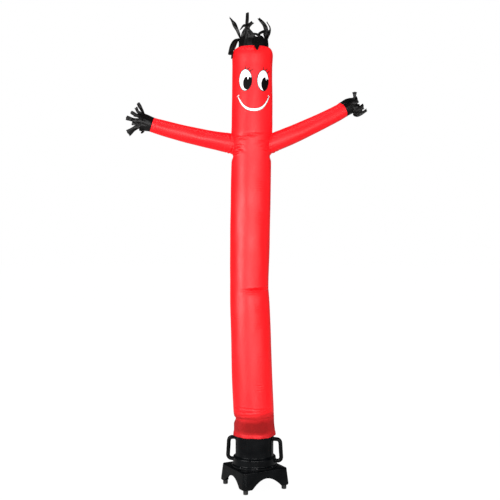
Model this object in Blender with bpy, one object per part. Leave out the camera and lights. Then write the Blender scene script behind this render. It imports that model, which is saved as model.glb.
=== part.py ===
"""Inflatable air dancer on its fan blower.

A slim red nylon tube, blown up by a fan, stands on a square black blower.
Metres, +Z up.  The front (face side) looks to -Y, the arms reach to -X and +X.
Shapes are first laid out about the blower's axis and then stand together on
one empty, which puts the origin under the middle of the whole object.
"""

import math

import bmesh
import bpy
from mathutils import Matrix, Vector

for old in list(bpy.data.objects):
    bpy.data.objects.remove(old, do_unlink=True)

# ------------------------------------------------------------------ sizes
AXIS_X, AXIS_Y = 0.0476, 0.000  # the blower axis in the part frame
GAP = 0.0003  # between pieces that touch
FRONT = Vector((0.0, -1.0, 0.0))
CLOTH = 0.0015  # wall of the nylon pieces
TUBE_SIDES = 28
ARM_SIDES = 16

# Body tube, a row for each section: height, centre, radius
BODY_ROWS = (
    # z,      cx,      cy,     radius
    (0.4050, 0.0000, 0.0000, 0.1605),
    (0.4400, -0.0010, 0.0000, 0.1572),
    (0.4810, -0.0030, 0.0000, 0.1558),
    (0.5280, -0.0035, 0.0000, 0.1545),
    (0.6060, -0.0070, 0.0000, 0.1556),
    (0.7600, -0.0138, 0.0020, 0.1553),
    (1.0410, -0.0235, 0.0060, 0.1550),
    (1.2880, -0.0321, 0.0080, 0.1535),
    (1.4110, -0.0362, 0.0080, 0.1525),
    (1.4730, -0.0386, 0.0070, 0.1508),
    (1.5350, -0.0405, 0.0070, 0.1492),
    (1.5960, -0.0400, 0.0060, 0.1492),
    (1.7190, -0.0375, 0.0050, 0.1512),
    (1.9030, -0.0352, 0.0030, 0.1522),
    (2.1480, -0.0302, 0.0010, 0.1530),
    (2.3930, -0.0260, 0.0000, 0.1510),
    (2.4700, -0.0249, 0.0000, 0.1505),
    (2.5300, -0.0241, 0.0000, 0.1500),
    (2.5900, -0.0235, 0.0000, 0.1510),
    (2.6500, -0.0230, 0.0000, 0.1530),
    (2.7100, -0.0226, 0.0000, 0.1555),
    (2.7730, -0.0205, 0.0000, 0.1550),
    (2.8640, -0.0195, 0.0000, 0.1539),
    (3.0460, -0.0177, 0.0000, 0.1526),
    (3.2270, -0.0157, 0.0000, 0.1524),
    (3.2800, -0.0155, 0.0000, 0.1545),
    (3.3080, -0.0152, 0.0000, 0.1546),
    (3.3300, -0.0145, 0.0000, 0.1505),
    (3.3480, -0.0125, 0.0000, 0.1395),
    (3.3600, -0.0095, 0.0000, 0.1250),
    (3.3660, -0.0078, 0.0000, 0.1145),
)
# extra sections, so that the creases have room to bend
BODY_EXTRA_Z = (0.505, 0.560, 1.505, 1.520, 1.550, 2.556, 2.680, 2.740)

# Creases of the tube: a soft trough (depth > 0) or ridge (depth < 0) each.
# angle is measured about the tube from +X, the front being 270 degrees;
# rise is how far the crease climbs for each degree of angle.
FOLDS = (
    # angle, z,    reach, height, depth,  rise
    (300.0, 1.5200, 42.0, 0.0130, 0.0075, 0.00010),  # the main crease, front right
    (285.0, 1.5000, 30.0, 0.0120, -0.0020, 0.00010),  # its rolled lip
    (180.0, 0.5280, 26.0, 0.0200, 0.0150, 0.00000),  # pinch on the left, above the fan
    (250.0, 0.5450, 40.0, 0.0120, 0.0050, -0.00020),
    (310.0, 0.5750, 34.0, 0.0120, 0.0040, 0.00015),
    (180.0, 2.5420, 24.0, 0.0220, 0.0110, 0.00000),  # drawn in under the left arm
    (360.0, 2.5420, 24.0, 0.0220, 0.0110, 0.00000),  # drawn in under the right arm
    (262.0, 2.7000, 24.0, 0.0110, 0.0050, 0.00020),  # drawn across the chest
    (232.0, 2.5850, 18.0, 0.0120, 0.0045, -0.00050),
    (300.0, 2.6500, 18.0, 0.0120, 0.0035, 0.00060),
    (80.0, 1.6000, 40.0, 0.0160, 0.0060, 0.00010),  # the same kind of crease behind
    (95.0, 2.6400, 26.0, 0.0140, 0.0045, 0.00000),
)

# Arms, a row for each section: centre and radius, from inside the body outwards
ARM_LEFT_ROWS = (
    # x,      y,       z,      radius
    (-0.1000, 0.0000, 2.6330, 0.0800),
    (-0.1500, -0.0010, 2.6370, 0.0800),
    (-0.2000, -0.0040, 2.6450, 0.0768),
    (-0.2900, -0.0130, 2.6620, 0.0706),
    (-0.3820, -0.0220, 2.6800, 0.0670),
    (-0.4730, -0.0300, 2.7000, 0.0643),
    (-0.5640, -0.0380, 2.7210, 0.0612),
    (-0.6550, -0.0460, 2.7440, 0.0593),
    (-0.7200, -0.0520, 2.7630, 0.0575),
    (-0.7780, -0.0570, 2.7810, 0.0548),
)
ARM_RIGHT_ROWS = (
    (0.0500, 0.0000, 2.6080, 0.0750),
    (0.1100, 0.0010, 2.6340, 0.0745),
    (0.1660, 0.0040, 2.6580, 0.0722),
    (0.2570, 0.0150, 2.6970, 0.0705),
    (0.3500, 0.0300, 2.7380, 0.0672),
    (0.4420, 0.0500, 2.7820, 0.0636),
    (0.5360, 0.0750, 2.8270, 0.0610),
    (0.6300, 0.1040, 2.8770, 0.0598),
    (0.6870, 0.1230, 2.9120, 0.0590),
)
ARM_RIGHT_SPLIT_X = 0.4750  # the bent right arm is two solids that meet here

# Fringes: a short band of black nylon, slit into streamers.  Each band is a
# ring of equal columns; a streamer is one column that runs on past the slit.
HAIR = dict(
    up=(1.0, 0.0, 0.0),
    columns=26,
    # height along the band, radius
    band=((0.0000, 0.1145), (0.0300, 0.1125), (0.0600, 0.1090)),
    ragged=0.010,
    # column, knee x, y, z,        tip x, y, z,          width knee, tip, turn from facing the front
    streamers=(
        (14, -0.1530, -0.0400, 3.5360, -0.1890, -0.0400, 3.5880, 0.030, 0.006, 10.0),
        (15, -0.0680, -0.0820, 3.4890, -0.0430, -0.0820, 3.5220, 0.026, 0.018, 10.0),
        (16, -0.0610, -0.0930, 3.5080, -0.0530, -0.0930, 3.6140, 0.024, 0.022, 0.0),
        (17, -0.0700, -0.1040, 3.5130, -0.1120, -0.1180, 3.4780, 0.020, 0.008, 0.0),
        (18, -0.0490, -0.1140, 3.4990, -0.0150, -0.1140, 3.5380, 0.026, 0.028, 0.0),
        (19, -0.0400, -0.1240, 3.4730, -0.0530, -0.1280, 3.5120, 0.026, 0.016, 0.0),
        (20, 0.0160, -0.1420, 3.3860, 0.0170, -0.1620, 3.3240, 0.056, 0.012, 0.0),
        (21, 0.0220, -0.0980, 3.4470, -0.0280, -0.1000, 3.4590, 0.020, 0.013, 0.0),
        (22, 0.0300, -0.0880, 3.4460, 0.0820, -0.0760, 3.4810, 0.020, 0.022, 0.0),
        (23, 0.0860, -0.0620, 3.4780, 0.1170, -0.0600, 3.4700, 0.030, 0.020, 0.0),
        (24, 0.0820, -0.0440, 3.5120, 0.0310, -0.0440, 3.5800, 0.036, 0.015, 0.0),
        (25, 0.0910, -0.0520, 3.4630, 0.0810, -0.0600, 3.4970, 0.026, 0.026, 0.0),
        (0, 0.1180, -0.0200, 3.5100, 0.0900, -0.0520, 3.5520, 0.010, 0.006, 0.0),
        (12, -0.1610, -0.0100, 3.4030, -0.1880, -0.0200, 3.3090, 0.028, 0.028, 0.0),
        (13, -0.1540, -0.0470, 3.4020, -0.1730, -0.0560, 3.2750, 0.022, 0.010, 0.0),
        (3, 0.0780, 0.1280, 3.4300, 0.1020, 0.1560, 3.3300, 0.027, 0.022, 0.0),
        (5, 0.0200, 0.1450, 3.4480, 0.0320, 0.1850, 3.3600, 0.027, 0.024, 0.0),
        (8, -0.0780, 0.1300, 3.4400, -0.0960, 0.1660, 3.3400, 0.027, 0.020, 0.0),
        (10, -0.1300, 0.0900, 3.4400, -0.1650, 0.1200, 3.3700, 0.026, 0.020, 0.0),
    ),
)
HAND_LEFT = dict(
    up=(0.3000, 0.0000, 0.9500),
    columns=14,
    band=((0.0000, 0.0545), (0.0340, 0.0588), (0.0700, 0.0620)),
    ragged=0.007,
    streamers=(
        (13, -0.8570, -0.0700, 2.9000, -0.8790, -0.0800, 2.9410, 0.026, 0.026, 10.0),
        (12, -0.8720, -0.0950, 2.8690, -0.8930, -0.1050, 2.9040, 0.025, 0.023, 0.0),
        (11, -0.8860, -0.1120, 2.8450, -0.9280, -0.1220, 2.8690, 0.027, 0.024, 0.0),
        (10, -0.9000, -0.1220, 2.8080, -0.9620, -0.1320, 2.8250, 0.034, 0.032, 0.0),
        (9, -0.8950, -0.1200, 2.7500, -0.9500, -0.1280, 2.7090, 0.038, 0.048, 0.0),
        (8, -0.8800, -0.0980, 2.7600, -0.9250, -0.1050, 2.7320, 0.032, 0.030, 0.0),
        (7, -0.8410, -0.0700, 2.7310, -0.8560, -0.0800, 2.7140, 0.018, 0.014, 0.0),
        (2, -0.8800, 0.0100, 2.8500, -0.9250, 0.0200, 2.8620, 0.026, 0.024, 0.0),
        (4, -0.8900, 0.0200, 2.8000, -0.9400, 0.0350, 2.7950, 0.030, 0.028, 0.0),
    ),
)
HAND_RIGHT = dict(
    up=(-0.4850, 0.0000, 0.8700),
    columns=14,
    band=((0.0000, 0.0585), (0.0350, 0.0600), (0.0620, 0.0600)),
    ragged=0.008,
    streamers=(
        (0, 0.7160, 0.0700, 2.9720, 0.6680, 0.0560, 2.9540, 0.022, 0.022, 0.0),
        (1, 0.7660, 0.0880, 2.9960, 0.7700, 0.0800, 3.0430, 0.017, 0.034, 0.0),
        (13, 0.7720, 0.1100, 2.9760, 0.7990, 0.1000, 2.9860, 0.032, 0.032, 0.0),
        (2, 0.7600, 0.0760, 2.9600, 0.7950, 0.0680, 2.9750, 0.034, 0.036, 0.0),
        (3, 0.7920, 0.0720, 2.9150, 0.8390, 0.0640, 2.9300, 0.038, 0.042, 0.0),
        (4, 0.7900, 0.0840, 2.8900, 0.8330, 0.0780, 2.9020, 0.038, 0.034, 0.0),
        (5, 0.7910, 0.0980, 2.8660, 0.8660, 0.0920, 2.9060, 0.028, 0.019, 0.0),
        (6, 0.7800, 0.1250, 2.8720, 0.8150, 0.1300, 2.8800, 0.026, 0.020, 0.0),
        (8, 0.7950, 0.1850, 2.9050, 0.8350, 0.2100, 2.9000, 0.026, 0.022, 0.0),
        (10, 0.7900, 0.2000, 2.9500, 0.8300, 0.2350, 2.9600, 0.026, 0.020, 0.0),
        (12, 0.7700, 0.1800, 2.9900, 0.8000, 0.2000, 3.0200, 0.026, 0.022, 0.0),
    ),
)

# Face: plain ovals and arcs, laid out on the unrolled tube
FACE_ANGLE = 276.2  # middle of the face about the tube
FACE_SHEET = 0.0010
# Eyes: side, middle angle and z, half angle, half height; the pupil's middle angle and z, its half
# angle to the left and right, how square its right side is, half height; its notch's angle, depth, half angle
EYES = (
    ("left", 249.3, 3.1050, 19.0, 0.0790, 254.0, 3.0810, 10.4, 18.0, 3.0, 0.0470, 257.8, 0.0195, 2.4),
    ("right", 302.4, 3.1020, 18.3, 0.0762, 307.2, 3.0755, 11.5, 16.0, 2.0, 0.0495, 311.8, 0.0200, 2.6),
)
SMILE_HALF_ANGLE, SMILE_LOW_Z, SMILE_RISE, SMILE_POWER = 49.5, 2.8830, 0.1050, 2.4
SMILE_THICK_MIDDLE, SMILE_THICK_END = 0.0220, 0.0100

# Blower
BASE_TURN = -16.5  # degrees: one corner points here, the next to the front
BASE_FLOOR_Z, BASE_TOP_Z, BASE_WALL = 0.0340, 0.1620, 0.0050
BASE_OUTER = (
    # z,    half side, corner radius
    (0.0340, 0.1965, 0.0300),
    (0.0420, 0.2005, 0.0310),
    (0.0900, 0.1955, 0.0300),
    (0.1500, 0.1895, 0.0290),
    (0.1585, 0.1885, 0.0280),
    (0.1620, 0.1850, 0.0255),
)
BASE_HOLE_R = 0.1340
POST_R, POST_TOP_R, FOOT_RING_R = 0.0250, 0.0060, 0.2355  # corner posts and feet, from the axis
ARCH_HALF_WIDTH, ARCH_TOP_Z, ARCH_POWER = 0.1280, 0.1065, 1.9
FOOT_PROFILE = ((0.0, 0.0), (0.0165, 0.0), (0.0185, 0.0025), (0.0195, 0.0337), (0.0, 0.0337))
DRUM_PROFILE = (
    # radius, z: round the section, down the outside and up the inside
    (0.1490, 0.4900), (0.1490, 0.4780), (0.1470, 0.4740), (0.1465, 0.2480),
    (0.1480, 0.2440), (0.1600, 0.2400), (0.1650, 0.2340), (0.1660, 0.1850),
    (0.1700, 0.1800), (0.1755, 0.1770), (0.1760, 0.1623), (0.1360, 0.1623),
    (0.1360, 0.4900),
)
DRUM_SIDES = 40
HANDLE_R = 0.0155
HANDLE_TURN = -12.0
HANDLE_ROWS = (
    # distance from the axis, z, along the middle of the grip
    (0.1400, 0.3750), (0.1700, 0.3750), (0.1860, 0.3725), (0.1970, 0.3640),
    (0.2025, 0.3500), (0.2055, 0.3050), (0.2090, 0.2500), (0.2095, 0.2330),
    (0.2040, 0.2190), (0.1930, 0.2105), (0.1760, 0.2080), (0.1550, 0.2080),
)
MOTOR_PROFILE = ((0.0, 0.3600), (0.0350, 0.3600), (0.0550, 0.3500), (0.0550, 0.2300), (0.0, 0.2300))
STRUT = (0.0100, 0.0200, 0.2500)  # half width, half height, middle z
GUARD_RINGS = (0.0350, 0.0680, 0.1010, 0.1310)
GUARD_WIRE, GUARD_Z = 0.0022, 0.1590
GLAND_PROFILE = ((0.0, 0.0160), (0.0070, 0.0160), (0.0080, 0.0140), (0.0095, 0.0050), (0.0120, 0.0040), (0.0120, 0.0), (0.0, 0.0))


# ------------------------------------------------------------- materials
def material(name, colour, roughness, metallic=0.0):
    made = bpy.data.materials.new(name)
    made.use_nodes = True
    shader = made.node_tree.nodes["Principled BSDF"]
    shader.inputs["Base Color"].default_value = (*colour, 1.0)
    shader.inputs["Roughness"].default_value = roughness
    shader.inputs["Metallic"].default_value = metallic
    made.diffuse_color = (*colour, 1.0)
    return made


RED = material("nylon_red", (0.86, 0.02, 0.03), 0.45)
BLACK = material("nylon_black", (0.012, 0.011, 0.012), 0.40)
WHITE = material("face_white", (0.92, 0.90, 0.90), 0.50)
INK = material("face_black", (0.010, 0.010, 0.010), 0.50)
PLASTIC = material("plastic_black", (0.014, 0.015, 0.017), 0.42)
RUBBER = material("rubber_black", (0.010, 0.010, 0.010), 0.80)
METAL = material("motor_metal", (0.10, 0.10, 0.11), 0.50, 0.8)

ROOT = bpy.data.objects.new("dancer_root", None)
ROOT.location = (AXIS_X, AXIS_Y, 0.0)
bpy.context.collection.objects.link(ROOT)


# --------------------------------------------------------------- helpers
def put(name, mesh, skin, smooth=40.0):
    mesh.materials.append(skin)
    obj = bpy.data.objects.new(name, mesh)
    bpy.context.collection.objects.link(obj)
    obj.parent = ROOT
    if smooth:
        mesh.shade_smooth()
        mesh.set_sharp_from_angle(angle=math.radians(smooth))
    return obj


def mesh_of(name, points, faces):
    mesh = bpy.data.meshes.new(name)
    mesh.from_pydata([tuple(p) for p in points], [], faces)
    mesh.update()
    return mesh


def cutter(name, points, faces):
    obj = put(name, mesh_of(name, points, faces), PLASTIC, None)
    obj.hide_render = True
    obj.display_type = "WIRE"
    return obj


def thicken(obj, thickness, offset):
    made = obj.modifiers.new("Solidify", "SOLIDIFY")
    made.thickness = thickness
    made.offset = offset
    made.use_rim = True
    return made


def cut(obj, tool, operation="DIFFERENCE"):
    made = obj.modifiers.new("Boolean", "BOOLEAN")
    made.operation = operation
    made.solver = "EXACT"
    made.object = tool
    return made


def between(rows, key):
    """The row at a height, on a smooth curve through the rows (columns after the first)."""
    keys = [row[0] for row in rows]
    if key <= keys[0]:
        return rows[0][1:]
    if key >= keys[-1]:
        return rows[-1][1:]
    i = max(k for k in range(len(keys) - 1) if keys[k] <= key)
    a, b = rows[i], rows[i + 1]
    span = b[0] - a[0]
    t = (key - a[0]) / span
    before = rows[i - 1] if i else a
    after = rows[i + 2] if i + 2 < len(rows) else b
    values = []
    for c in range(1, len(a)):
        m0 = (b[c] - before[c]) / (b[0] - before[0]) * span
        m1 = (after[c] - a[c]) / (after[0] - a[0]) * span
        values.append(
            (2 * t**3 - 3 * t**2 + 1) * a[c]
            + (t**3 - 2 * t**2 + t) * m0
            + (-2 * t**3 + 3 * t**2) * b[c]
            + (t**3 - t**2) * m1
        )
    return tuple(values)


def apart(a, b):
    """Signed difference of two angles in degrees, within half a turn."""
    return (a - b + 180.0) % 360.0 - 180.0


def body_point(angle, z, out=0.0):
    cx, cy, radius = between(BODY_ROWS, z)
    for fold_angle, fold_z, reach, height, depth, rise in FOLDS:
        off = apart(angle, fold_angle)
        radius -= depth * math.exp(
            -((off / reach) ** 2) - ((z - fold_z - rise * off) / height) ** 2
        )
    radius += out
    a = math.radians(angle)
    return Vector((cx + radius * math.cos(a), cy + radius * math.sin(a), z))


def loft(rings, close_ends, threes=False):
    """Points and faces of a tube through rings; threes splits each quad the same way."""
    sides = len(rings[0])
    points = [p for ring in rings for p in ring]
    faces = []
    for r in range(len(rings) - 1):
        for s in range(sides):
            t = (s + 1) % sides
            low, low_next = r * sides + s, r * sides + t
            high, high_next = low + sides, low_next + sides
            if threes:
                faces += [(low, low_next, high_next), (low, high_next, high)]
            else:
                faces.append((low, low_next, high_next, high))
    if close_ends:
        faces.append(tuple(reversed(range(sides))))
        last = (len(rings) - 1) * sides
        faces.append(tuple(range(last, last + sides)))
    return points, faces


def turned(profile, segments):
    """A closed profile of (radius, z), clockwise when +X is right and +Z up, spun about Z."""
    points, rows = [], []
    for radius, z in profile:
        if radius == 0.0:
            rows.append([len(points)])
            points.append(Vector((0.0, 0.0, z)))
            continue
        rows.append(list(range(len(points), len(points) + segments)))
        for s in range(segments):
            a = 2 * math.pi * s / segments
            points.append(Vector((radius * math.cos(a), radius * math.sin(a), z)))
    faces = []
    for i, upper in enumerate(rows):
        lower = rows[(i + 1) % len(rows)]
        if len(upper) == 1 and len(lower) == 1:
            continue
        for s in range(segments):
            t = (s + 1) % segments
            corner = [
                upper[s % len(upper)], lower[s % len(lower)],
                lower[t % len(lower)], upper[t % len(upper)],
            ]
            face = [v for k, v in enumerate(corner) if v not in corner[:k]]
            faces.append(tuple(face))
    return points, faces


def outward(mesh):
    work = bmesh.new()
    work.from_mesh(mesh)
    bmesh.ops.recalc_face_normals(work, faces=work.faces[:])
    work.to_mesh(mesh)
    work.free()
    return mesh


# ---------------------------------------------------------------- cloth
def body_rings(heights, out):
    step = 360.0 / TUBE_SIDES
    return [[body_point(step * s, z, out) for s in range(TUBE_SIDES)] for z in heights]


def frame_along(rows):
    """Centre, direction and radius of each section of an arm."""
    centres = [Vector(row[:3]) for row in rows]
    made = []
    for i, centre in enumerate(centres):
        ahead = centres[min(i + 1, len(centres) - 1)]
        behind = centres[max(i - 1, 0)]
        made.append((centre, (ahead - behind).normalized(), rows[i][3]))
    return made


def arm_rings(rows, inset):
    rings = []
    for centre, along, radius in frame_along(rows):
        side = along.cross(Vector((0.0, 0.0, 1.0))).normalized()
        top = side.cross(along).normalized()
        ring = []
        for s in range(ARM_SIDES):
            a = 2 * math.pi * s / ARM_SIDES
            ring.append(centre + (radius - inset) * (math.cos(a) * side + math.sin(a) * top))
        rings.append(ring)
    # +direction must see the rings turn anticlockwise
    return [list(reversed(ring)) for ring in rings]


heights = sorted({row[0] for row in BODY_ROWS} | set(BODY_EXTRA_Z))
body = put("body_tube", outward(mesh_of("body_tube", *loft(body_rings(heights, 0.0), False, True))), RED)
thicken(body, CLOTH, -1.0)

shoulder = [z for z in heights if 2.39 <= z <= 2.87]
envelope = cutter("shoulder_form", *loft(body_rings(shoulder, GAP), True, True))

for side_name, rows in (("left", ARM_LEFT_ROWS), ("right", ARM_RIGHT_ROWS)):
    tunnel_mesh = mesh_of(f"armhole_{side_name}", *loft(arm_rings(rows[:4], CLOTH), True))
    outward(tunnel_mesh)
    tunnel = put(f"armhole_{side_name}", tunnel_mesh, PLASTIC, None)
    tunnel.hide_render = True
    tunnel.display_type = "WIRE"
    cut(body, tunnel)

    if side_name == "left":
        rings = arm_rings(rows, 0.0)
        lengths = [("arm_left", rings)]
    else:
        y, z, radius = between(rows, ARM_RIGHT_SPLIT_X)
        with_split = sorted(rows + ((ARM_RIGHT_SPLIT_X, y, z, radius),))
        at = [row[0] for row in with_split].index(ARM_RIGHT_SPLIT_X)
        rings = arm_rings(with_split, 0.0)
        onward = frame_along(with_split)[at][1] * (1.5 * GAP)
        lengths = [("upper_arm_right", rings[:at + 1]),
                   ("forearm_right", [[p + onward for p in rings[at]]] + rings[at + 1:])]
    for name, rings in lengths:
        sleeve_mesh = mesh_of(name, *loft(rings, False))
        work = bmesh.new()
        work.from_mesh(sleeve_mesh)
        # an open sleeve: its faces look away from its own middle line
        middle = sum(rings[1], Vector()) / len(rings[1])
        bmesh.ops.recalc_face_normals(work, faces=work.faces[:])
        first = min(work.faces, key=lambda f: (f.calc_center_median() - middle).length)
        if (first.calc_center_median() - middle).dot(first.normal) < 0:
            bmesh.ops.reverse_faces(work, faces=work.faces[:])
        work.to_mesh(sleeve_mesh)
        work.free()
        sleeve = put(name, sleeve_mesh, RED)
        thicken(sleeve, CLOTH, -1.0)
        if name != "forearm_right":
            cut(sleeve, envelope)


def fringe(name, plan, seam, axis):
    """A band slit into streamers, sewn on at the middle of a seam: one sheet, then thickened."""
    origin = seam + axis * GAP
    up = Vector(plan["up"])
    up = (up - up.dot(axis) * axis).normalized()
    side = axis.cross(up)
    count = plan["columns"]
    points, faces = [], []

    def on_band(column, height, radius):
        a = 2 * math.pi * column / count
        return origin + axis * height + radius * (math.cos(a) * up + math.sin(a) * side)

    rows = plan["band"]
    for r, (height, radius) in enumerate(rows):
        for column in range(count):
            h = height
            if r == len(rows) - 1:
                h += plan["ragged"] * math.sin(2.4 * column + 0.7) * math.cos(1.1 * column)
            points.append(on_band(column, h, radius))
    for r in range(len(rows) - 1):
        for column in range(count):
            after = (column + 1) % count
            faces.append((r * count + column, r * count + after,
                          (r + 1) * count + after, (r + 1) * count + column))
    edge = (len(rows) - 1) * count
    for column, kx, ky, kz, tx, ty, tz, knee_width, tip_width, turn in plan["streamers"]:
        after = (column + 1) % count
        first, second = points[edge + column], points[edge + after]
        start = (first + second) / 2
        across = (second - first)
        base_width = across.length
        across.normalize()
        knee, tip = Vector((kx, ky, kz)), Vector((tx, ty, tz))
        leave = (axis * 0.7 + (knee - start).normalized() * 0.5).normalized()
        lower_run, upper_run = (knee - start).length, (tip - knee).length
        past = (tip - start).normalized()
        spans = (
            (start, knee, leave * lower_run, past * lower_run, base_width, knee_width, 4),
            (knee, tip, past * upper_run, (tip - knee), knee_width, tip_width, 3),
        )
        left, right = edge + column, edge + after
        previous = start
        for a, b, ta, tb, wa, wb, steps in spans:
            for k in range(1, steps + 1):
                t = k / steps
                centre = (
                    (2 * t**3 - 3 * t**2 + 1) * a + (t**3 - 2 * t**2 + t) * ta
                    + (-2 * t**3 + 3 * t**2) * b + (t**3 - t**2) * tb
                )
                along = (centre - previous).normalized()
                across = (across - across.dot(along) * along).normalized()
                if b is knee:
                    flat = along.cross(FRONT)
                    if flat.length > 0.2:
                        flat.normalize()
                        if flat.dot(across) < 0:
                            flat = -flat
                        flat = Matrix.Rotation(math.radians(turn), 3, along) @ flat
                        left_over = math.atan2(along.dot(across.cross(flat)), across.dot(flat))
                        across = Matrix.Rotation(left_over / (steps - k + 1), 3, along) @ across
                half = (wa + (wb - wa) * t) / 2
                points += [centre - across * half, centre + across * half]
                faces.append((left, right, len(points) - 1, len(points) - 2))
                left, right = len(points) - 2, len(points) - 1
                previous = centre
    obj = put(name, mesh_of(name, points, faces), BLACK)
    thicken(obj, CLOTH, -1.0)
    return obj


top_z, top_x, top_y = BODY_ROWS[-1][:3]
fringe("hair_fringe", HAIR, Vector((top_x, top_y, top_z)), Vector((0.0, 0.0, 1.0)))
for side_name, plan, rows in (("left", HAND_LEFT, ARM_LEFT_ROWS), ("right", HAND_RIGHT, ARM_RIGHT_ROWS)):
    wrist, along, radius = frame_along(rows)[-1]
    fringe(f"hand_fringe_{side_name}", plan, wrist, along)


# ----------------------------------------------------------------- face
def patch(name, skin, slices, lift):
    """A thin piece on the tube: slices of (angle, low z, high z), left to right."""
    points, lows, highs = [], [], []
    for angle, low, high in slices:
        inner = [body_point(angle, low, lift), body_point(angle, low, lift + FACE_SHEET)]
        lows.append((len(points), len(points) + 1))
        points += inner
        if high - low < 1e-6:
            highs.append(lows[-1])
        else:
            highs.append((len(points), len(points) + 1))
            points += [body_point(angle, high, lift), body_point(angle, high, lift + FACE_SHEET)]
    faces = []

    def add(*corner):
        face = [v for k, v in enumerate(corner) if v not in corner[:k]]
        if len(face) > 2:
            faces.append(tuple(face))

    for i in range(len(slices) - 1):
        j = i + 1
        add(lows[i][1], lows[j][1], highs[j][1], highs[i][1])
        add(lows[i][0], highs[i][0], highs[j][0], lows[j][0])
        add(lows[i][0], lows[j][0], lows[j][1], lows[i][1])
        add(highs[i][1], highs[j][1], highs[j][0], highs[i][0])
    for i in (0, len(slices) - 1):
        if highs[i] != lows[i]:
            add(lows[i][0], lows[i][1], highs[i][1], highs[i][0])
    return put(name, outward(mesh_of(name, points, faces)), skin, 30.0)


def oval(share):
    return math.sqrt(max(0.0, 1.0 - share * share))


LIFT = 0.0005
for (side_name, eye, eye_z, eye_half, eye_tall, pupil, pupil_z, half_left, half_right, square, pupil_tall,
     notch_angle, notch_depth, notch_half) in EYES:
    slices = []
    for k in range(19):
        share = -math.cos(math.pi * k / 18)
        half = eye_tall * oval(share) if 0 < k < 18 else 0.0
        slices.append((eye + eye_half * share, eye_z - half, eye_z + half))
    patch(f"eye_white_{side_name}", WHITE, slices, LIFT)

    shares = [-math.cos(math.pi * k / 18) for k in range(19)]
    turns = [pupil + share * (half_left if share < 0 else half_right) for share in shares]
    edges = [notch_angle + notch_half * k for k in (-1.0, -0.6, 0.0, 0.6, 1.0)]
    turns = [t for t in turns if all(abs(t - e) > 0.35 for e in edges)] + edges
    slices = []
    for k, angle in enumerate(sorted(turns)):
        share = abs(angle - pupil) / (half_left if angle < pupil else half_right)
        power = 2.0 if angle < pupil else square
        half = pupil_tall * max(0.0, 1.0 - share**power) ** (1.0 / power) if k else 0.0
        low, high = pupil_z - half, pupil_z + half
        room = eye_tall * oval(min(1.0, abs(angle - eye) / eye_half)) - 0.002
        notch = abs(apart(angle, notch_angle)) / notch_half
        if notch < 1.0:
            high = min(high, pupil_z + pupil_tall - notch_depth * (1.0 - notch**3))
        high = min(high, eye_z + room)
        low = max(low, eye_z - room)
        if high - low < 0.0005:
            low = high = (low + high) / 2
        slices.append((angle, low, high))
        if k and low == high:
            break
    patch(f"pupil_{side_name}", INK, slices, LIFT + FACE_SHEET + GAP)

slices = []
for k in range(25):
    share = -1.0 + 2.0 * k / 24
    z = SMILE_LOW_Z + SMILE_RISE * abs(share) ** SMILE_POWER
    half = (SMILE_THICK_END + (SMILE_THICK_MIDDLE - SMILE_THICK_END) * (1 - share * share)) / 2
    slope = SMILE_RISE * SMILE_POWER * abs(share) ** (SMILE_POWER - 1) / (math.radians(SMILE_HALF_ANGLE) * 0.153)
    half *= math.sqrt(1 + slope * slope)
    slices.append((FACE_ANGLE - 0.9 + SMILE_HALF_ANGLE * share, z - half, z + half))
patch("smile", WHITE, slices, LIFT)


# ---------------------------------------------------------------- blower
def square_ring(z, half, corner):
    """A square with round corners, anticlockwise: each corner's arc, then the side after it."""
    arcs = []
    for quarter in range(4):
        cx = (half - corner) * (1 if quarter in (0, 3) else -1)
        cy = (half - corner) * (1 if quarter in (0, 1) else -1)
        turns = [math.radians(90.0 * quarter + 22.5 * k) for k in range(5)]
        arcs.append([Vector((cx + corner * math.cos(a), cy + corner * math.sin(a), z)) for a in turns])
    ring = []
    for quarter, arc in enumerate(arcs):
        ring += arc
        after = arcs[(quarter + 1) % 4][0]
        ring += [arc[-1].lerp(after, k / 7) for k in range(1, 7)]
    return ring


TURN = Matrix.Rotation(math.radians(BASE_TURN - 45.0), 3, "Z")


def base_shell():
    outer = [square_ring(*row) for row in BASE_OUTER]
    last = outer[-1]
    hole_top = [Vector((p.x, p.y, 0.0)).normalized() * BASE_HOLE_R + Vector((0, 0, BASE_TOP_Z)) for p in last]
    under = BASE_TOP_Z - BASE_WALL
    hole_low = [Vector((p.x, p.y, under)) for p in hole_top]
    inner = [square_ring(min(z, under), half - BASE_WALL, corner - BASE_WALL)
             for z, half, corner in reversed(BASE_OUTER[:4])]
    inner.insert(0, square_ring(under, BASE_OUTER[3][1] - BASE_WALL - 0.001, BASE_OUTER[3][2] - BASE_WALL))
    rings = outer + [hole_top, hole_low] + inner
    points, faces = loft(rings, False)
    sides = len(outer[0])
    last_start = (len(rings) - 1) * sides
    for s in range(sides):
        t = (s + 1) % sides
        faces.append((last_start + s, last_start + t, t, s))
    return [TURN @ p for p in points], faces


base = put("blower_base", outward(mesh_of("blower_base", *base_shell())), PLASTIC, 30.0)

posts_points, posts_faces = [], []
post_profile = ((0.0, BASE_TOP_Z - 0.003), (POST_TOP_R, BASE_TOP_Z - 0.003), (POST_R, BASE_FLOOR_Z), (0.0, BASE_FLOOR_Z))
for k in range(4):
    a = math.radians(BASE_TURN + 90.0 * k)
    points, faces = turned(post_profile, 20)
    shift = Vector((FOOT_RING_R * math.cos(a), FOOT_RING_R * math.sin(a), 0.0))
    start = len(posts_points)
    posts_points += [p + shift for p in points]
    posts_faces += [tuple(v + start for v in face) for face in faces]
posts = cutter("corner_posts", posts_points, posts_faces)
outward(posts.data)
cut(base, posts, "UNION")

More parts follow.
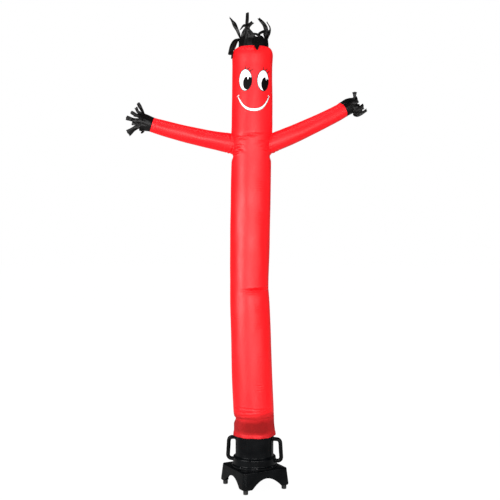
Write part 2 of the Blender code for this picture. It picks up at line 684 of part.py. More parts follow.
arch = []
for k in range(17):
    x = -ARCH_HALF_WIDTH + 2 * ARCH_HALF_WIDTH * k / 16
    arch.append((x, BASE_FLOOR_Z + (ARCH_TOP_Z - BASE_FLOOR_Z) * (1 - abs(x / ARCH_HALF_WIDTH) ** ARCH_POWER)))
arch = [(-ARCH_HALF_WIDTH, 0.020)] + arch + [(ARCH_HALF_WIDTH, 0.020)]
for name, quarter in (("arch_a", 0.0), ("arch_b", 90.0)):
    spin = TURN @ Matrix.Rotation(math.radians(quarter), 3, "Z")
    near = [spin @ Vector((x, -0.26, z)) for x, z in arch]
    far = [spin @ Vector((x, 0.26, z)) for x, z in arch]
    tool = cutter(name, *loft([near, far], True))
    outward(tool.data)
    cut(base, tool)

for k in range(4):
    a = math.radians(BASE_TURN + 90.0 * k)
    foot = put(f"foot_{('right', 'back', 'left', 'front')[k]}",
               outward(mesh_of("foot", *turned(FOOT_PROFILE, 20))), RUBBER, 30.0)
    foot.location = (FOOT_RING_R * math.cos(a), FOOT_RING_R * math.sin(a), 0.0)

drum = put("blower_drum", outward(mesh_of("blower_drum", *turned(DRUM_PROFILE, DRUM_SIDES))), PLASTIC, 30.0)

drum_side = DRUM_PROFILE[2:8]  # the outside that the handles meet
drum_form_profile = ((0.0, drum_side[0][1]),) + tuple((r + GAP, z) for r, z in drum_side) + ((0.0, drum_side[-1][1]),)
drum_form = cutter("drum_form", *turned(drum_form_profile, DRUM_SIDES))
outward(drum_form.data)
for side_name, turn in (("right", HANDLE_TURN), ("left", HANDLE_TURN + 180.0)):
    a = math.radians(turn)
    out, sideways = Vector((math.cos(a), math.sin(a), 0.0)), Vector((-math.sin(a), math.cos(a), 0.0))
    centres = [out * reach + Vector((0.0, 0.0, z)) for reach, z in HANDLE_ROWS]
    rings = []
    for k, centre in enumerate(centres):
        along = (centres[min(k + 1, len(centres) - 1)] - centres[max(k - 1, 0)]).normalized()
        other = along.cross(sideways)
        rings.append([centre + HANDLE_R * (math.cos(2 * math.pi * s / 12) * sideways
                                           + math.sin(2 * math.pi * s / 12) * other) for s in range(12)])
    grip = put(f"handle_{side_name}", outward(mesh_of("handle", *loft(rings, True))), PLASTIC)
    cut(grip, drum_form)

motor = put("fan_motor", outward(mesh_of("fan_motor", *turned(MOTOR_PROFILE, 28))), METAL, 30.0)
half_width, half_height, strut_z = STRUT
for k, name in enumerate(("strut_a", "strut_b")):
    a = Matrix.Rotation(math.radians(45.0 + 90.0 * k), 3, "Z")
    reach = 0.1350
    ring_low = [a @ Vector((x, y, strut_z - half_height)) for x, y in
                ((-reach, -half_width), (reach, -half_width), (reach, half_width), (-reach, half_width))]
    ring_high = [p + Vector((0, 0, 2 * half_height - 0.001 * k)) for p in ring_low]
    tool = cutter(name, *loft([ring_low, ring_high], True))
    outward(tool.data)
    cut(motor, tool, "UNION")

guard_points, guard_faces = [], []
wire_sides = 4
for n, radius in enumerate(GUARD_RINGS):
    start = len(guard_points)
    segments = 20
    for s in range(segments):
        a = 2 * math.pi * s / segments
        for w in range(wire_sides):
            b = 2 * math.pi * (w + 0.5) / wire_sides
            reach = radius + GUARD_WIRE * math.cos(b)
            guard_points.append(Vector((reach * math.cos(a), reach * math.sin(a), GUARD_Z + GUARD_WIRE * math.sin(b))))
    for s in range(segments):
        t = (s + 1) % segments
        for w in range(wire_sides):
            x = (w + 1) % wire_sides
            guard_faces.append((start + s * wire_sides + w, start + t * wire_sides + w,
                                start + t * wire_sides + x, start + s * wire_sides + x))
rings = cutter("guard_rings", guard_points, guard_faces)
outward(rings.data)
hub = put("inlet_guard", outward(mesh_of("inlet_guard", *turned(
    ((0.0, GUARD_Z + 0.0025), (0.0200, GUARD_Z + 0.0025), (0.0200, GUARD_Z - 0.0025), (0.0, GUARD_Z - 0.0025)), 20))), METAL, 30.0)
for k, name in enumerate(("spoke_a", "spoke_b")):
    a = Matrix.Rotation(math.radians(BASE_TURN + 90.0 * k), 3, "Z")
    reach = 0.1315
    low = [a @ Vector((x, y, GUARD_Z - 0.0018)) for x, y in
           ((-reach, -0.0040), (reach, -0.0040), (reach, 0.0040), (-reach, 0.0040))]
    high = [p + Vector((0, 0, 0.0036 - 0.0004 * k)) for p in low]
    tool = cutter(name, *loft([low, high], True))
    outward(tool.data)
    cut(hub, tool, "UNION")
cut(hub, rings, "UNION")

gland = put("cord_gland", outward(mesh_of("cord_gland", *turned(GLAND_PROFILE, 20))), RUBBER, 30.0)
face_angle = BASE_TURN + 45.0 + 90.0  # the back left face of the base
gland_z = 0.128
half_there = between(tuple((z, half) for z, half, corner in BASE_OUTER), gland_z)[0]
lean = math.atan2(BASE_OUTER[2][1] - BASE_OUTER[3][1], BASE_OUTER[3][0] - BASE_OUTER[2][0])
a = math.radians(face_angle)
gland.location = ((half_there + 0.0012) * math.cos(a), (half_there + 0.0012) * math.sin(a), gland_z)
gland.rotation_euler = (0.0, math.pi / 2 - lean, a)
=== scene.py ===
import math

import bmesh
import bpy
import numpy as np
from mathutils import Matrix, Vector


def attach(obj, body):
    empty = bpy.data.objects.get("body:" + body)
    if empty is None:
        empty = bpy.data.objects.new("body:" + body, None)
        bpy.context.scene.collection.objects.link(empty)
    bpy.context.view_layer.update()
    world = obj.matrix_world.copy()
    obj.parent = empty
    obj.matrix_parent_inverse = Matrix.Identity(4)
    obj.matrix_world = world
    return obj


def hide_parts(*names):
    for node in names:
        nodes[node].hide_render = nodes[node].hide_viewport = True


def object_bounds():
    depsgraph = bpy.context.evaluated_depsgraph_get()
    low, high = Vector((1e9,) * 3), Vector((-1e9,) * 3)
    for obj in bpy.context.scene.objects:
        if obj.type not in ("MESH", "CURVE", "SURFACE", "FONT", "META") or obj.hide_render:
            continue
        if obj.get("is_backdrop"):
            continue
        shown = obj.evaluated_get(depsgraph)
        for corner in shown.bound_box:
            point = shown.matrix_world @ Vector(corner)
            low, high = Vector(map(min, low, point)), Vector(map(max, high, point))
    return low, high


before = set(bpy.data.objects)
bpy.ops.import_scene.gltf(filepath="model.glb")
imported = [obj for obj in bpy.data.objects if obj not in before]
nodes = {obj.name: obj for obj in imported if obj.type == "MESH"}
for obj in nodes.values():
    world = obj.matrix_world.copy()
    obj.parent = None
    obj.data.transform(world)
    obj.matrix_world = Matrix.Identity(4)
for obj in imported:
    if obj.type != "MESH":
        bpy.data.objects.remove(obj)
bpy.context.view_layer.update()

# ------------------------------------------------------------------ sizes
# The blower's axis in the part frame; the tables below are about that axis.
AXIS = np.array((0.0476, 0.0, 0.0))
FRONT = Vector((0.0, -1.0, 0.0))

# Body tube: height, centre x, centre y, radius
BODY_ROWS = (
    (0.4050, 0.0000, 0.0000, 0.1605), (0.4400, -0.0010, 0.0000, 0.1572),
    (0.4810, -0.0030, 0.0000, 0.1558), (0.5280, -0.0035, 0.0000, 0.1545),
    (0.6060, -0.0070, 0.0000, 0.1556), (0.7600, -0.0138, 0.0020, 0.1553),
    (1.0410, -0.0235, 0.0060, 0.1550), (1.2880, -0.0321, 0.0080, 0.1535),
    (1.4110, -0.0362, 0.0080, 0.1525), (1.4730, -0.0386, 0.0070, 0.1508),
    (1.5350, -0.0405, 0.0070, 0.1492), (1.5960, -0.0400, 0.0060, 0.1492),
    (1.7190, -0.0375, 0.0050, 0.1512), (1.9030, -0.0352, 0.0030, 0.1522),
    (2.1480, -0.0302, 0.0010, 0.1530), (2.3930, -0.0260, 0.0000, 0.1510),
    (2.4700, -0.0249, 0.0000, 0.1505), (2.5300, -0.0241, 0.0000, 0.1500),
    (2.5900, -0.0235, 0.0000, 0.1510), (2.6500, -0.0230, 0.0000, 0.1530),
    (2.7100, -0.0226, 0.0000, 0.1555), (2.7730, -0.0205, 0.0000, 0.1550),
    (2.8640, -0.0195, 0.0000, 0.1539), (3.0460, -0.0177, 0.0000, 0.1526),
    (3.2270, -0.0157, 0.0000, 0.1524), (3.2800, -0.0155, 0.0000, 0.1545),
    (3.3080, -0.0152, 0.0000, 0.1546), (3.3300, -0.0145, 0.0000, 0.1505),
    (3.3480, -0.0125, 0.0000, 0.1395), (3.3600, -0.0095, 0.0000, 0.1250),
    (3.3660, -0.0078, 0.0000, 0.1145),
)
# Soft creases shared with the CAD: angle, z, reach, height, depth, rise for each degree
FOLDS = (
    (300.0, 1.5200, 42.0, 0.0130, 0.0075, 0.00010),
    (285.0, 1.5000, 30.0, 0.0120, -0.0020, 0.00010),
    (180.0, 0.5280, 26.0, 0.0200, 0.0150, 0.00000),
    (250.0, 0.5450, 40.0, 0.0120, 0.0050, -0.00020),
    (310.0, 0.5750, 34.0, 0.0120, 0.0040, 0.00015),
    (180.0, 2.5420, 24.0, 0.0220, 0.0110, 0.00000),
    (360.0, 2.5420, 24.0, 0.0220, 0.0110, 0.00000),
    (262.0, 2.7000, 24.0, 0.0110, 0.0050, 0.00020),
    (232.0, 2.5850, 18.0, 0.0120, 0.0045, -0.00050),
    (300.0, 2.6500, 18.0, 0.0120, 0.0035, 0.00060),
    (80.0, 1.6000, 40.0, 0.0160, 0.0060, 0.00010),
    (95.0, 2.6400, 26.0, 0.0140, 0.0045, 0.00000),
)
# Finer creases: angle, z, reach, height, depth, rise, lip (the puffed edge under it)
CREASES = (
    (306.0, 1.5385, 30.0, 0.0062, 0.0100, 0.00009, 0.45),
    (284.0, 1.5340, 20.0, 0.0048, 0.0060, 0.00012, 0.40),
    (334.0, 1.5520, 12.0, 0.0060, 0.0080, -0.0001, 0.30),
    (283.0, 1.5175, 24.0, 0.0035, 0.0024, 0.00008, 0.50),
    (287.0, 1.5060, 26.0, 0.0035, 0.0018, 0.00010, 0.50),
    (300.0, 1.4940, 22.0, 0.0040, 0.0012, 0.00010, 0.50),
    (268.5, 2.6935, 13.0, 0.0042, 0.0062, 0.00000, 0.50),
    (294.0, 2.7070, 20.0, 0.0040, 0.0042, 0.00006, 0.50),
    (326.0, 2.7020, 14.0, 0.0040, 0.0030, -0.0002, 0.50),
    (241.0, 2.6675, 12.0, 0.0042, 0.0052, 0.00010, 0.50),
    (224.0, 2.6900, 13.0, 0.0045, 0.0045, -0.0002, 0.50),
    (232.0, 2.6300, 12.0, 0.0040, 0.0030, -0.0003, 0.50),
    (231.0, 2.5815, 10.0, 0.0042, 0.0048, 0.00015, 0.50),
    (224.0, 2.6050, 12.0, 0.0042, 0.0040, 0.00030, 0.50),
    (220.0, 2.5600, 11.0, 0.0042, 0.0036, 0.00040, 0.50),
    (307.0, 2.6120, 12.0, 0.0040, 0.0026, -0.0003, 0.50),
    (318.0, 2.5850, 12.0, 0.0045, 0.0038, -0.0004, 0.50),
    (314.0, 2.6550, 12.0, 0.0040, 0.0030, 0.0002, 0.50),
    (240.0, 0.6290, 34.0, 0.0045, 0.0030, -0.0001, 0.50),
    (300.0, 0.6240, 22.0, 0.0045, 0.0026, 0.00012, 0.50),
    (236.0, 0.5985, 26.0, 0.0045, 0.0034, 0.00010, 0.50),
    (296.0, 0.6040, 20.0, 0.0040, 0.0030, -0.0001, 0.50),
    (246.0, 0.5730, 24.0, 0.0045, 0.0032, 0.00015, 0.50),
    (212.0, 0.5430, 22.0, 0.0060, 0.0060, 0.00005, 0.50),
    (330.0, 0.5550, 26.0, 0.0050, 0.0036, 0.00012, 0.50),
    (60.0, 0.5800, 30.0, 0.0050, 0.0040, 0.00010, 0.50),
    (120.0, 0.5500, 30.0, 0.0050, 0.0040, -0.0001, 0.50),
    (82.0, 1.6030, 30.0, 0.0060, 0.0070, 0.00010, 0.45),
    (70.0, 1.5830, 24.0, 0.0040, 0.0020, 0.00010, 0.50),
    (140.0, 2.6200, 14.0, 0.0045, 0.0040, 0.00020, 0.50),
    (48.0, 2.6350, 14.0, 0.0045, 0.0040, -0.0002, 0.50),
    (40.0, 2.5900, 12.0, 0.0045, 0.0036, -0.0003, 0.50),
    (136.0, 2.5800, 12.0, 0.0045, 0.0036, 0.00030, 0.50),
    (95.0, 2.7050, 26.0, 0.0040, 0.0034, 0.00000, 0.50),
)
# Fine standing ripples: angle, reach, low z, high z, spacing, depth
RIPPLES = (
    (300.0, 13.0, 2.262, 2.372, 0.0180, 0.00075),
    (300.0, 13.0, 2.014, 2.132, 0.0180, 0.00075),
    (295.0, 13.0, 1.350, 1.424, 0.0180, 0.00085),
    (295.0, 13.0, 1.228, 1.296, 0.0180, 0.00085),
    (296.0, 14.0, 1.000, 1.052, 0.0180, 0.00070),
    (292.0, 15.0, 0.760, 0.824, 0.0180, 0.00070),
    (216.0, 15.0, 1.292, 1.360, 0.0180, 0.00110),
    (205.0, 18.0, 0.980, 1.060, 0.0200, 0.00060),
    (75.0, 16.0, 1.900, 2.020, 0.0180, 0.00070),
    (110.0, 16.0, 1.150, 1.260, 0.0180, 0.00070),
)
CREASE_GAIN, RIPPLE_GAIN = 1.35, 1.8
# Long slow swells of the blown-up cloth: turns about the tube, turns for each metre, phase, depth
SWELLS = (
    (2, 0.42, 0.6, 0.0012), (3, -0.75, 2.1, 0.0009), (5, 1.30, 4.0, 0.0006),
    (4, -1.90, 5.2, 0.0005), (7, 2.70, 1.3, 0.0003), (9, -3.40, 3.3, 0.00022),
)

# Arms: centre x, y, z and radius
ARM_LEFT_ROWS = (
    (-0.1000, 0.0000, 2.6330, 0.0800), (-0.1500, -0.0010, 2.6370, 0.0800),
    (-0.2000, -0.0040, 2.6450, 0.0768), (-0.2900, -0.0130, 2.6620, 0.0706),
    (-0.3820, -0.0220, 2.6800, 0.0670), (-0.4730, -0.0300, 2.7000, 0.0643),
    (-0.5640, -0.0380, 2.7210, 0.0612), (-0.6550, -0.0460, 2.7440, 0.0593),
    (-0.7200, -0.0520, 2.7630, 0.0575), (-0.7780, -0.0570, 2.7810, 0.0548),
)
ARM_RIGHT_ROWS = (
    (0.0500, 0.0000, 2.6080, 0.0750), (0.1100, 0.0010, 2.6340, 0.0745),
    (0.1660, 0.0040, 2.6580, 0.0722), (0.2570, 0.0150, 2.6970, 0.0705),
    (0.3500, 0.0300, 2.7380, 0.0672), (0.4420, 0.0500, 2.7820, 0.0636),
    (0.5360, 0.0750, 2.8270, 0.0610), (0.6300, 0.1040, 2.8770, 0.0598),
    (0.6870, 0.1230, 2.9120, 0.0590),
)
# Creases across the arms: share of the length, angle (0 back, 90 top, 180 front, 270 under), reach, height, depth
ARM_LEFT_CREASES = (
    (0.020, 250.0, 60.0, 0.0060, 0.0050), (0.060, 262.0, 46.0, 0.0050, 0.0036), (0.105, 240.0, 34.0, 0.0050, 0.0022),
    (0.030, 150.0, 40.0, 0.0050, 0.0030), (0.075, 120.0, 30.0, 0.0050, 0.0018), (0.385, 165.0, 34.0, 0.0045, 0.0016),
    (0.405, 180.0, 26.0, 0.0040, 0.0012), (0.690, 140.0, 40.0, 0.0050, 0.0012), (0.965, 180.0, 80.0, 0.0060, 0.0016),
)
ARM_RIGHT_CREASES = (
    (0.020, 262.0, 60.0, 0.0060, 0.0050), (0.065, 250.0, 44.0, 0.0050, 0.0034), (0.110, 275.0, 34.0, 0.0050, 0.0022),
    (0.035, 130.0, 40.0, 0.0050, 0.0030), (0.320, 150.0, 30.0, 0.0045, 0.0014), (0.560, 185.0, 36.0, 0.0050, 0.0012),
    (0.950, 150.0, 80.0, 0.0060, 0.0018),
)

# Fringes, as in the CAD: a band slit into streamers
HAIR = dict(
    up=(1.0, 0.0, 0.0),
    columns=26,
    # height along the band, radius
    band=((0.0000, 0.1145), (0.0300, 0.1125), (0.0600, 0.1090)),
    ragged=0.010,
    # column, knee x, y, z,        tip x, y, z,          width knee, tip, turn from facing the front
    streamers=(
        (14, -0.1530, -0.0400, 3.5360, -0.1890, -0.0400, 3.5880, 0.030, 0.006, 10.0),
        (15, -0.0680, -0.0820, 3.4890, -0.0430, -0.0820, 3.5220, 0.026, 0.018, 10.0),
        (16, -0.0610, -0.0930, 3.5080, -0.0530, -0.0930, 3.6140, 0.024, 0.022, 0.0),
        (17, -0.0700, -0.1040, 3.5130, -0.1120, -0.1180, 3.4780, 0.020, 0.008, 0.0),
        (18, -0.0490, -0.1140, 3.4990, -0.0150, -0.1140, 3.5380, 0.026, 0.028, 0.0),
        (19, -0.0400, -0.1240, 3.4730, -0.0530, -0.1280, 3.5120, 0.026, 0.016, 0.0),
        (20, 0.0160, -0.1420, 3.3860, 0.0170, -0.1620, 3.3240, 0.056, 0.012, 0.0),
        (21, 0.0220, -0.0980, 3.4470, -0.0280, -0.1000, 3.4590, 0.020, 0.013, 0.0),
        (22, 0.0300, -0.0880, 3.4460, 0.0820, -0.0760, 3.4810, 0.020, 0.022, 0.0),
        (23, 0.0860, -0.0620, 3.4780, 0.1170, -0.0600, 3.4700, 0.030, 0.020, 0.0),
        (24, 0.0820, -0.0440, 3.5120, 0.0310, -0.0440, 3.5800, 0.036, 0.015, 0.0),
        (25, 0.0910, -0.0520, 3.4630, 0.0810, -0.0600, 3.4970, 0.026, 0.026, 0.0),
        (0, 0.1180, -0.0200, 3.5100, 0.0900, -0.0520, 3.5520, 0.010, 0.006, 0.0),
        (12, -0.1610, -0.0100, 3.4030, -0.1880, -0.0200, 3.3090, 0.028, 0.028, 0.0),
        (13, -0.1540, -0.0470, 3.4020, -0.1730, -0.0560, 3.2750, 0.022, 0.010, 0.0),
        (3, 0.0780, 0.1280, 3.4300, 0.1020, 0.1560, 3.3300, 0.027, 0.022, 0.0),
        (5, 0.0200, 0.1450, 3.4480, 0.0320, 0.1850, 3.3600, 0.027, 0.024, 0.0),
        (8, -0.0780, 0.1300, 3.4400, -0.0960, 0.1660, 3.3400, 0.027, 0.020, 0.0),
        (10, -0.1300, 0.0900, 3.4400, -0.1650, 0.1200, 3.3700, 0.026, 0.020, 0.0),
    ),
)
HAND_LEFT = dict(
    up=(0.3000, 0.0000, 0.9500),
    columns=14,
    band=((0.0000, 0.0545), (0.0340, 0.0588), (0.0700, 0.0620)),
    ragged=0.007,
    streamers=(
        (13, -0.8570, -0.0700, 2.9000, -0.8790, -0.0800, 2.9410, 0.026, 0.026, 10.0),
        (12, -0.8720, -0.0950, 2.8690, -0.8930, -0.1050, 2.9040, 0.025, 0.023, 0.0),
        (11, -0.8860, -0.1120, 2.8450, -0.9280, -0.1220, 2.8690, 0.027, 0.024, 0.0),
        (10, -0.9000, -0.1220, 2.8080, -0.9620, -0.1320, 2.8250, 0.034, 0.032, 0.0),
        (9, -0.8950, -0.1200, 2.7500, -0.9500, -0.1280, 2.7090, 0.038, 0.048, 0.0),
        (8, -0.8800, -0.0980, 2.7600, -0.9250, -0.1050, 2.7320, 0.032, 0.030, 0.0),
        (7, -0.8410, -0.0700, 2.7310, -0.8560, -0.0800, 2.7140, 0.018, 0.014, 0.0),
        (2, -0.8800, 0.0100, 2.8500, -0.9250, 0.0200, 2.8620, 0.026, 0.024, 0.0),
        (4, -0.8900, 0.0200, 2.8000, -0.9400, 0.0350, 2.7950, 0.030, 0.028, 0.0),
    ),
)
HAND_RIGHT = dict(
    up=(-0.4850, 0.0000, 0.8700),
    columns=14,
    band=((0.0000, 0.0585), (0.0350, 0.0600), (0.0620, 0.0600)),
    ragged=0.008,
    streamers=(
        (0, 0.7160, 0.0700, 2.9720, 0.6680, 0.0560, 2.9540, 0.022, 0.022, 0.0),
        (1, 0.7660, 0.0880, 2.9960, 0.7700, 0.0800, 3.0430, 0.017, 0.034, 0.0),
        (13, 0.7720, 0.1100, 2.9760, 0.7990, 0.1000, 2.9860, 0.032, 0.032, 0.0),
        (2, 0.7600, 0.0760, 2.9600, 0.7950, 0.0680, 2.9750, 0.034, 0.036, 0.0),
        (3, 0.7920, 0.0720, 2.9150, 0.8390, 0.0640, 2.9300, 0.038, 0.042, 0.0),
        (4, 0.7900, 0.0840, 2.8900, 0.8330, 0.0780, 2.9020, 0.038, 0.034, 0.0),
        (5, 0.7910, 0.0980, 2.8660, 0.8660, 0.0920, 2.9060, 0.028, 0.019, 0.0),
        (6, 0.7800, 0.1250, 2.8720, 0.8150, 0.1300, 2.8800, 0.026, 0.020, 0.0),
        (8, 0.7950, 0.1850, 2.9050, 0.8350, 0.2100, 2.9000, 0.026, 0.022, 0.0),
        (10, 0.7900, 0.2000, 2.9500, 0.8300, 0.2350, 2.9600, 0.026, 0.020, 0.0),
        (12, 0.7700, 0.1800, 2.9900, 0.8000, 0.2000, 3.0200, 0.026, 0.022, 0.0),
    ),
)

# Face, laid out on the unrolled tube in degrees and metres
FACE_ANGLE = 276.2
# Eyes: side, middle angle and z, half angle, half height; the pupil's middle angle and z, its half
# angle to the left and right, how square its right side is, half height; its notch's angle, depth, half angle
EYES = (
    ("left", 249.3, 3.1050, 19.0, 0.0790, 254.0, 3.0810, 10.4, 18.0, 3.0, 0.0470, 257.8, 0.0195, 2.4),
    ("right", 302.4, 3.1020, 18.3, 0.0762, 307.2, 3.0755, 11.5, 16.0, 2.0, 0.0495, 311.8, 0.0200, 2.6),
)
SMILE_HALF_ANGLE, SMILE_LOW_Z, SMILE_RISE, SMILE_POWER = 49.5, 2.8830, 0.1050, 2.4
SMILE_THICK_MIDDLE, SMILE_THICK_END = 0.0220, 0.0100
# Lashes: root angle, z, tip angle, z, width
LASHES_LEFT = (
    (250.0, 3.1870, 251.4, 3.2150, 0.0085),
    (255.6, 3.1830, 266.2, 3.1985, 0.0085),
    (262.6, 3.1660, 273.6, 3.1850, 0.0085),
)
LASHES_RIGHT = (
    (302.4, 3.1830, 303.6, 3.2085, 0.0080),
    (308.6, 3.1770, 317.4, 3.1915, 0.0080),
    (316.4, 3.1570, 326.6, 3.1790, 0.0085),
)

# Blower
BASE_TURN = -16.5
BASE_FLOOR_Z, BASE_TOP_Z, BASE_WALL = 0.0340, 0.1620, 0.0050
BASE_OUTER = (
    # z,    half side, corner radius
    (0.0340, 0.1965, 0.0300), (0.0362, 0.1983, 0.0306), (0.0420, 0.2005, 0.0310),
    (0.0660, 0.1980, 0.0305), (0.0900, 0.1955, 0.0300), (0.1200, 0.1925, 0.0295),
    (0.1500, 0.1895, 0.0290), (0.1550, 0.1890, 0.0285), (0.1585, 0.1885, 0.0280),
    (0.1607, 0.1871, 0.0270), (0.1620, 0.1850, 0.0255),
)
BASE_HOLE_R = 0.1340
POST_R, POST_TOP_R, FOOT_RING_R = 0.0250, 0.0060, 0.2355
ARCH_HALF_WIDTH, ARCH_TOP_Z, ARCH_POWER = 0.1280, 0.1065, 1.9
DRUM_PROFILE = (
    # radius, z: down the outside, round the flange and up the inside
    (0.1476, 0.4900), (0.1486, 0.4896), (0.1490, 0.4885), (0.1490, 0.4795), (0.1487, 0.4782), (0.1475, 0.4750),
    (0.1470, 0.4738), (0.1469, 0.4600), (0.1467, 0.3600), (0.1466, 0.3300), (0.1465, 0.2900), (0.1465, 0.2500),
    (0.1470, 0.2468), (0.1480, 0.2448), (0.1500, 0.2436), (0.1580, 0.2412), (0.1610, 0.2396), (0.1635, 0.2372),
    (0.1648, 0.2340), (0.1652, 0.2280), (0.1658, 0.1900), (0.1664, 0.1852), (0.1676, 0.1822), (0.1700, 0.1802),
    (0.1740, 0.1784), (0.1753, 0.1772), (0.1758, 0.1755), (0.1760, 0.1650), (0.1758, 0.1631), (0.1750, 0.1623),
    (0.1360, 0.1623), (0.1360, 0.3000), (0.1360, 0.4500), (0.1362, 0.4888), (0.1370, 0.4900),
)
HANDLE_R, HANDLE_TURN = 0.0155, -12.0
HANDLE_ROWS = (
    (0.1400, 0.3750), (0.1700, 0.3750), (0.1860, 0.3725), (0.1970, 0.3640),
    (0.2025, 0.3500), (0.2055, 0.3050), (0.2090, 0.2500), (0.2095, 0.2330),
    (0.2040, 0.2190), (0.1930, 0.2105), (0.1760, 0.2080), (0.1550, 0.2080),
)
FOOT_PROFILE = (
    (0.0, 0.0337), (0.0188, 0.0337), (0.0194, 0.0332), (0.0195, 0.0322), (0.0192, 0.0250), (0.0187, 0.0120),
    (0.0185, 0.0040), (0.0182, 0.0018), (0.0175, 0.0006), (0.0164, 0.0000), (0.0100, 0.0000), (0.0, 0.0),
)


# -------------------------------------------------------------- materials
class Skin:
    """A material's node tree, with short ways to add to it."""

    def __init__(self, name):
        self.made = bpy.data.materials.new(name)
        self.made.use_nodes = True
        self.tree = self.made.node_tree
        self.shader = self.tree.nodes["Principled BSDF"]

    def node(self, kind, **values):
        made = self.tree.nodes.new(kind)
        for key, value in values.items():
            if key.startswith("in_"):
                made.inputs[key[3:].replace("_", " ")].default_value = value
            else:
                setattr(made, key, value)
        return made

    def link(self, a, b):
        self.tree.links.new(a, b)

    def sum(self, operation, a, b=None, clamp=False):
        made = self.node("ShaderNodeMath", operation=operation, use_clamp=clamp)
        for socket, value in zip(made.inputs, (a, b)):
            if value is None:
                continue
            if isinstance(value, (int, float)):
                socket.default_value = value
            else:
                self.link(value, socket)
        return made.outputs[0]

    def ramp(self, value, low, high, to_low=0.0, to_high=1.0, smooth=True):
        made = self.node("ShaderNodeMapRange", clamp=True)
        made.interpolation_type = "SMOOTHSTEP" if smooth else "LINEAR"
        self.link(value, made.inputs["Value"])
        for key, number in (("From Min", low), ("From Max", high), ("To Min", to_low), ("To Max", to_high)):
            made.inputs[key].default_value = number
        return made.outputs["Result"]

    def blend(self, share, a, b):
        """Colours a to b by a share: each a colour tuple or a socket."""
        made = self.node("ShaderNodeMix", data_type="RGBA")
        if isinstance(share, float):
            made.inputs["Factor"].default_value = share
        else:
            self.link(share, made.inputs["Factor"])
        for key, value in (("A", a), ("B", b)):
            socket = [s for s in made.inputs if s.name == key and s.type == "RGBA"][0]
            if isinstance(value, tuple):
                socket.default_value = (*value, 1.0)
            else:
                self.link(value, socket)
        return [s for s in made.outputs if s.type == "RGBA"][0]

    def noise(self, where, scale, detail=4.0, rough=0.5, stretch=None):
        if stretch:
            move = self.node("ShaderNodeMapping")
            move.inputs["Scale"].default_value = stretch
            self.link(where, move.inputs["Vector"])
            where = move.outputs["Vector"]
        made = self.node("ShaderNodeTexNoise")
        made.inputs["Scale"].default_value = scale
        made.inputs["Detail"].default_value = detail
        made.inputs["Roughness"].default_value = rough
        self.link(where, made.inputs["Vector"])
        return made.outputs["Fac"]

    def bump(self, height, distance, strength=1.0, before=None):
        made = self.node("ShaderNodeBump")
        made.inputs["Distance"].default_value = distance
        made.inputs["Strength"].default_value = strength
        self.link(height, made.inputs["Height"])
        if before is not None:
            self.link(before, made.inputs["Normal"])
        return made.outputs["Normal"]

    def here(self):
        return self.node("ShaderNodeTexCoord").outputs["Object"]

    def cloth_uv(self):
        return self.node("ShaderNodeUVMap", uv_map="cloth").outputs["UV"]

    def finish(self, colour=None, rough=None, normal=None):
        for key, value in (("Base Color", colour), ("Roughness", rough), ("Normal", normal)):
            if value is not None:
                self.link(value, self.shader.inputs[key])
        return self.made


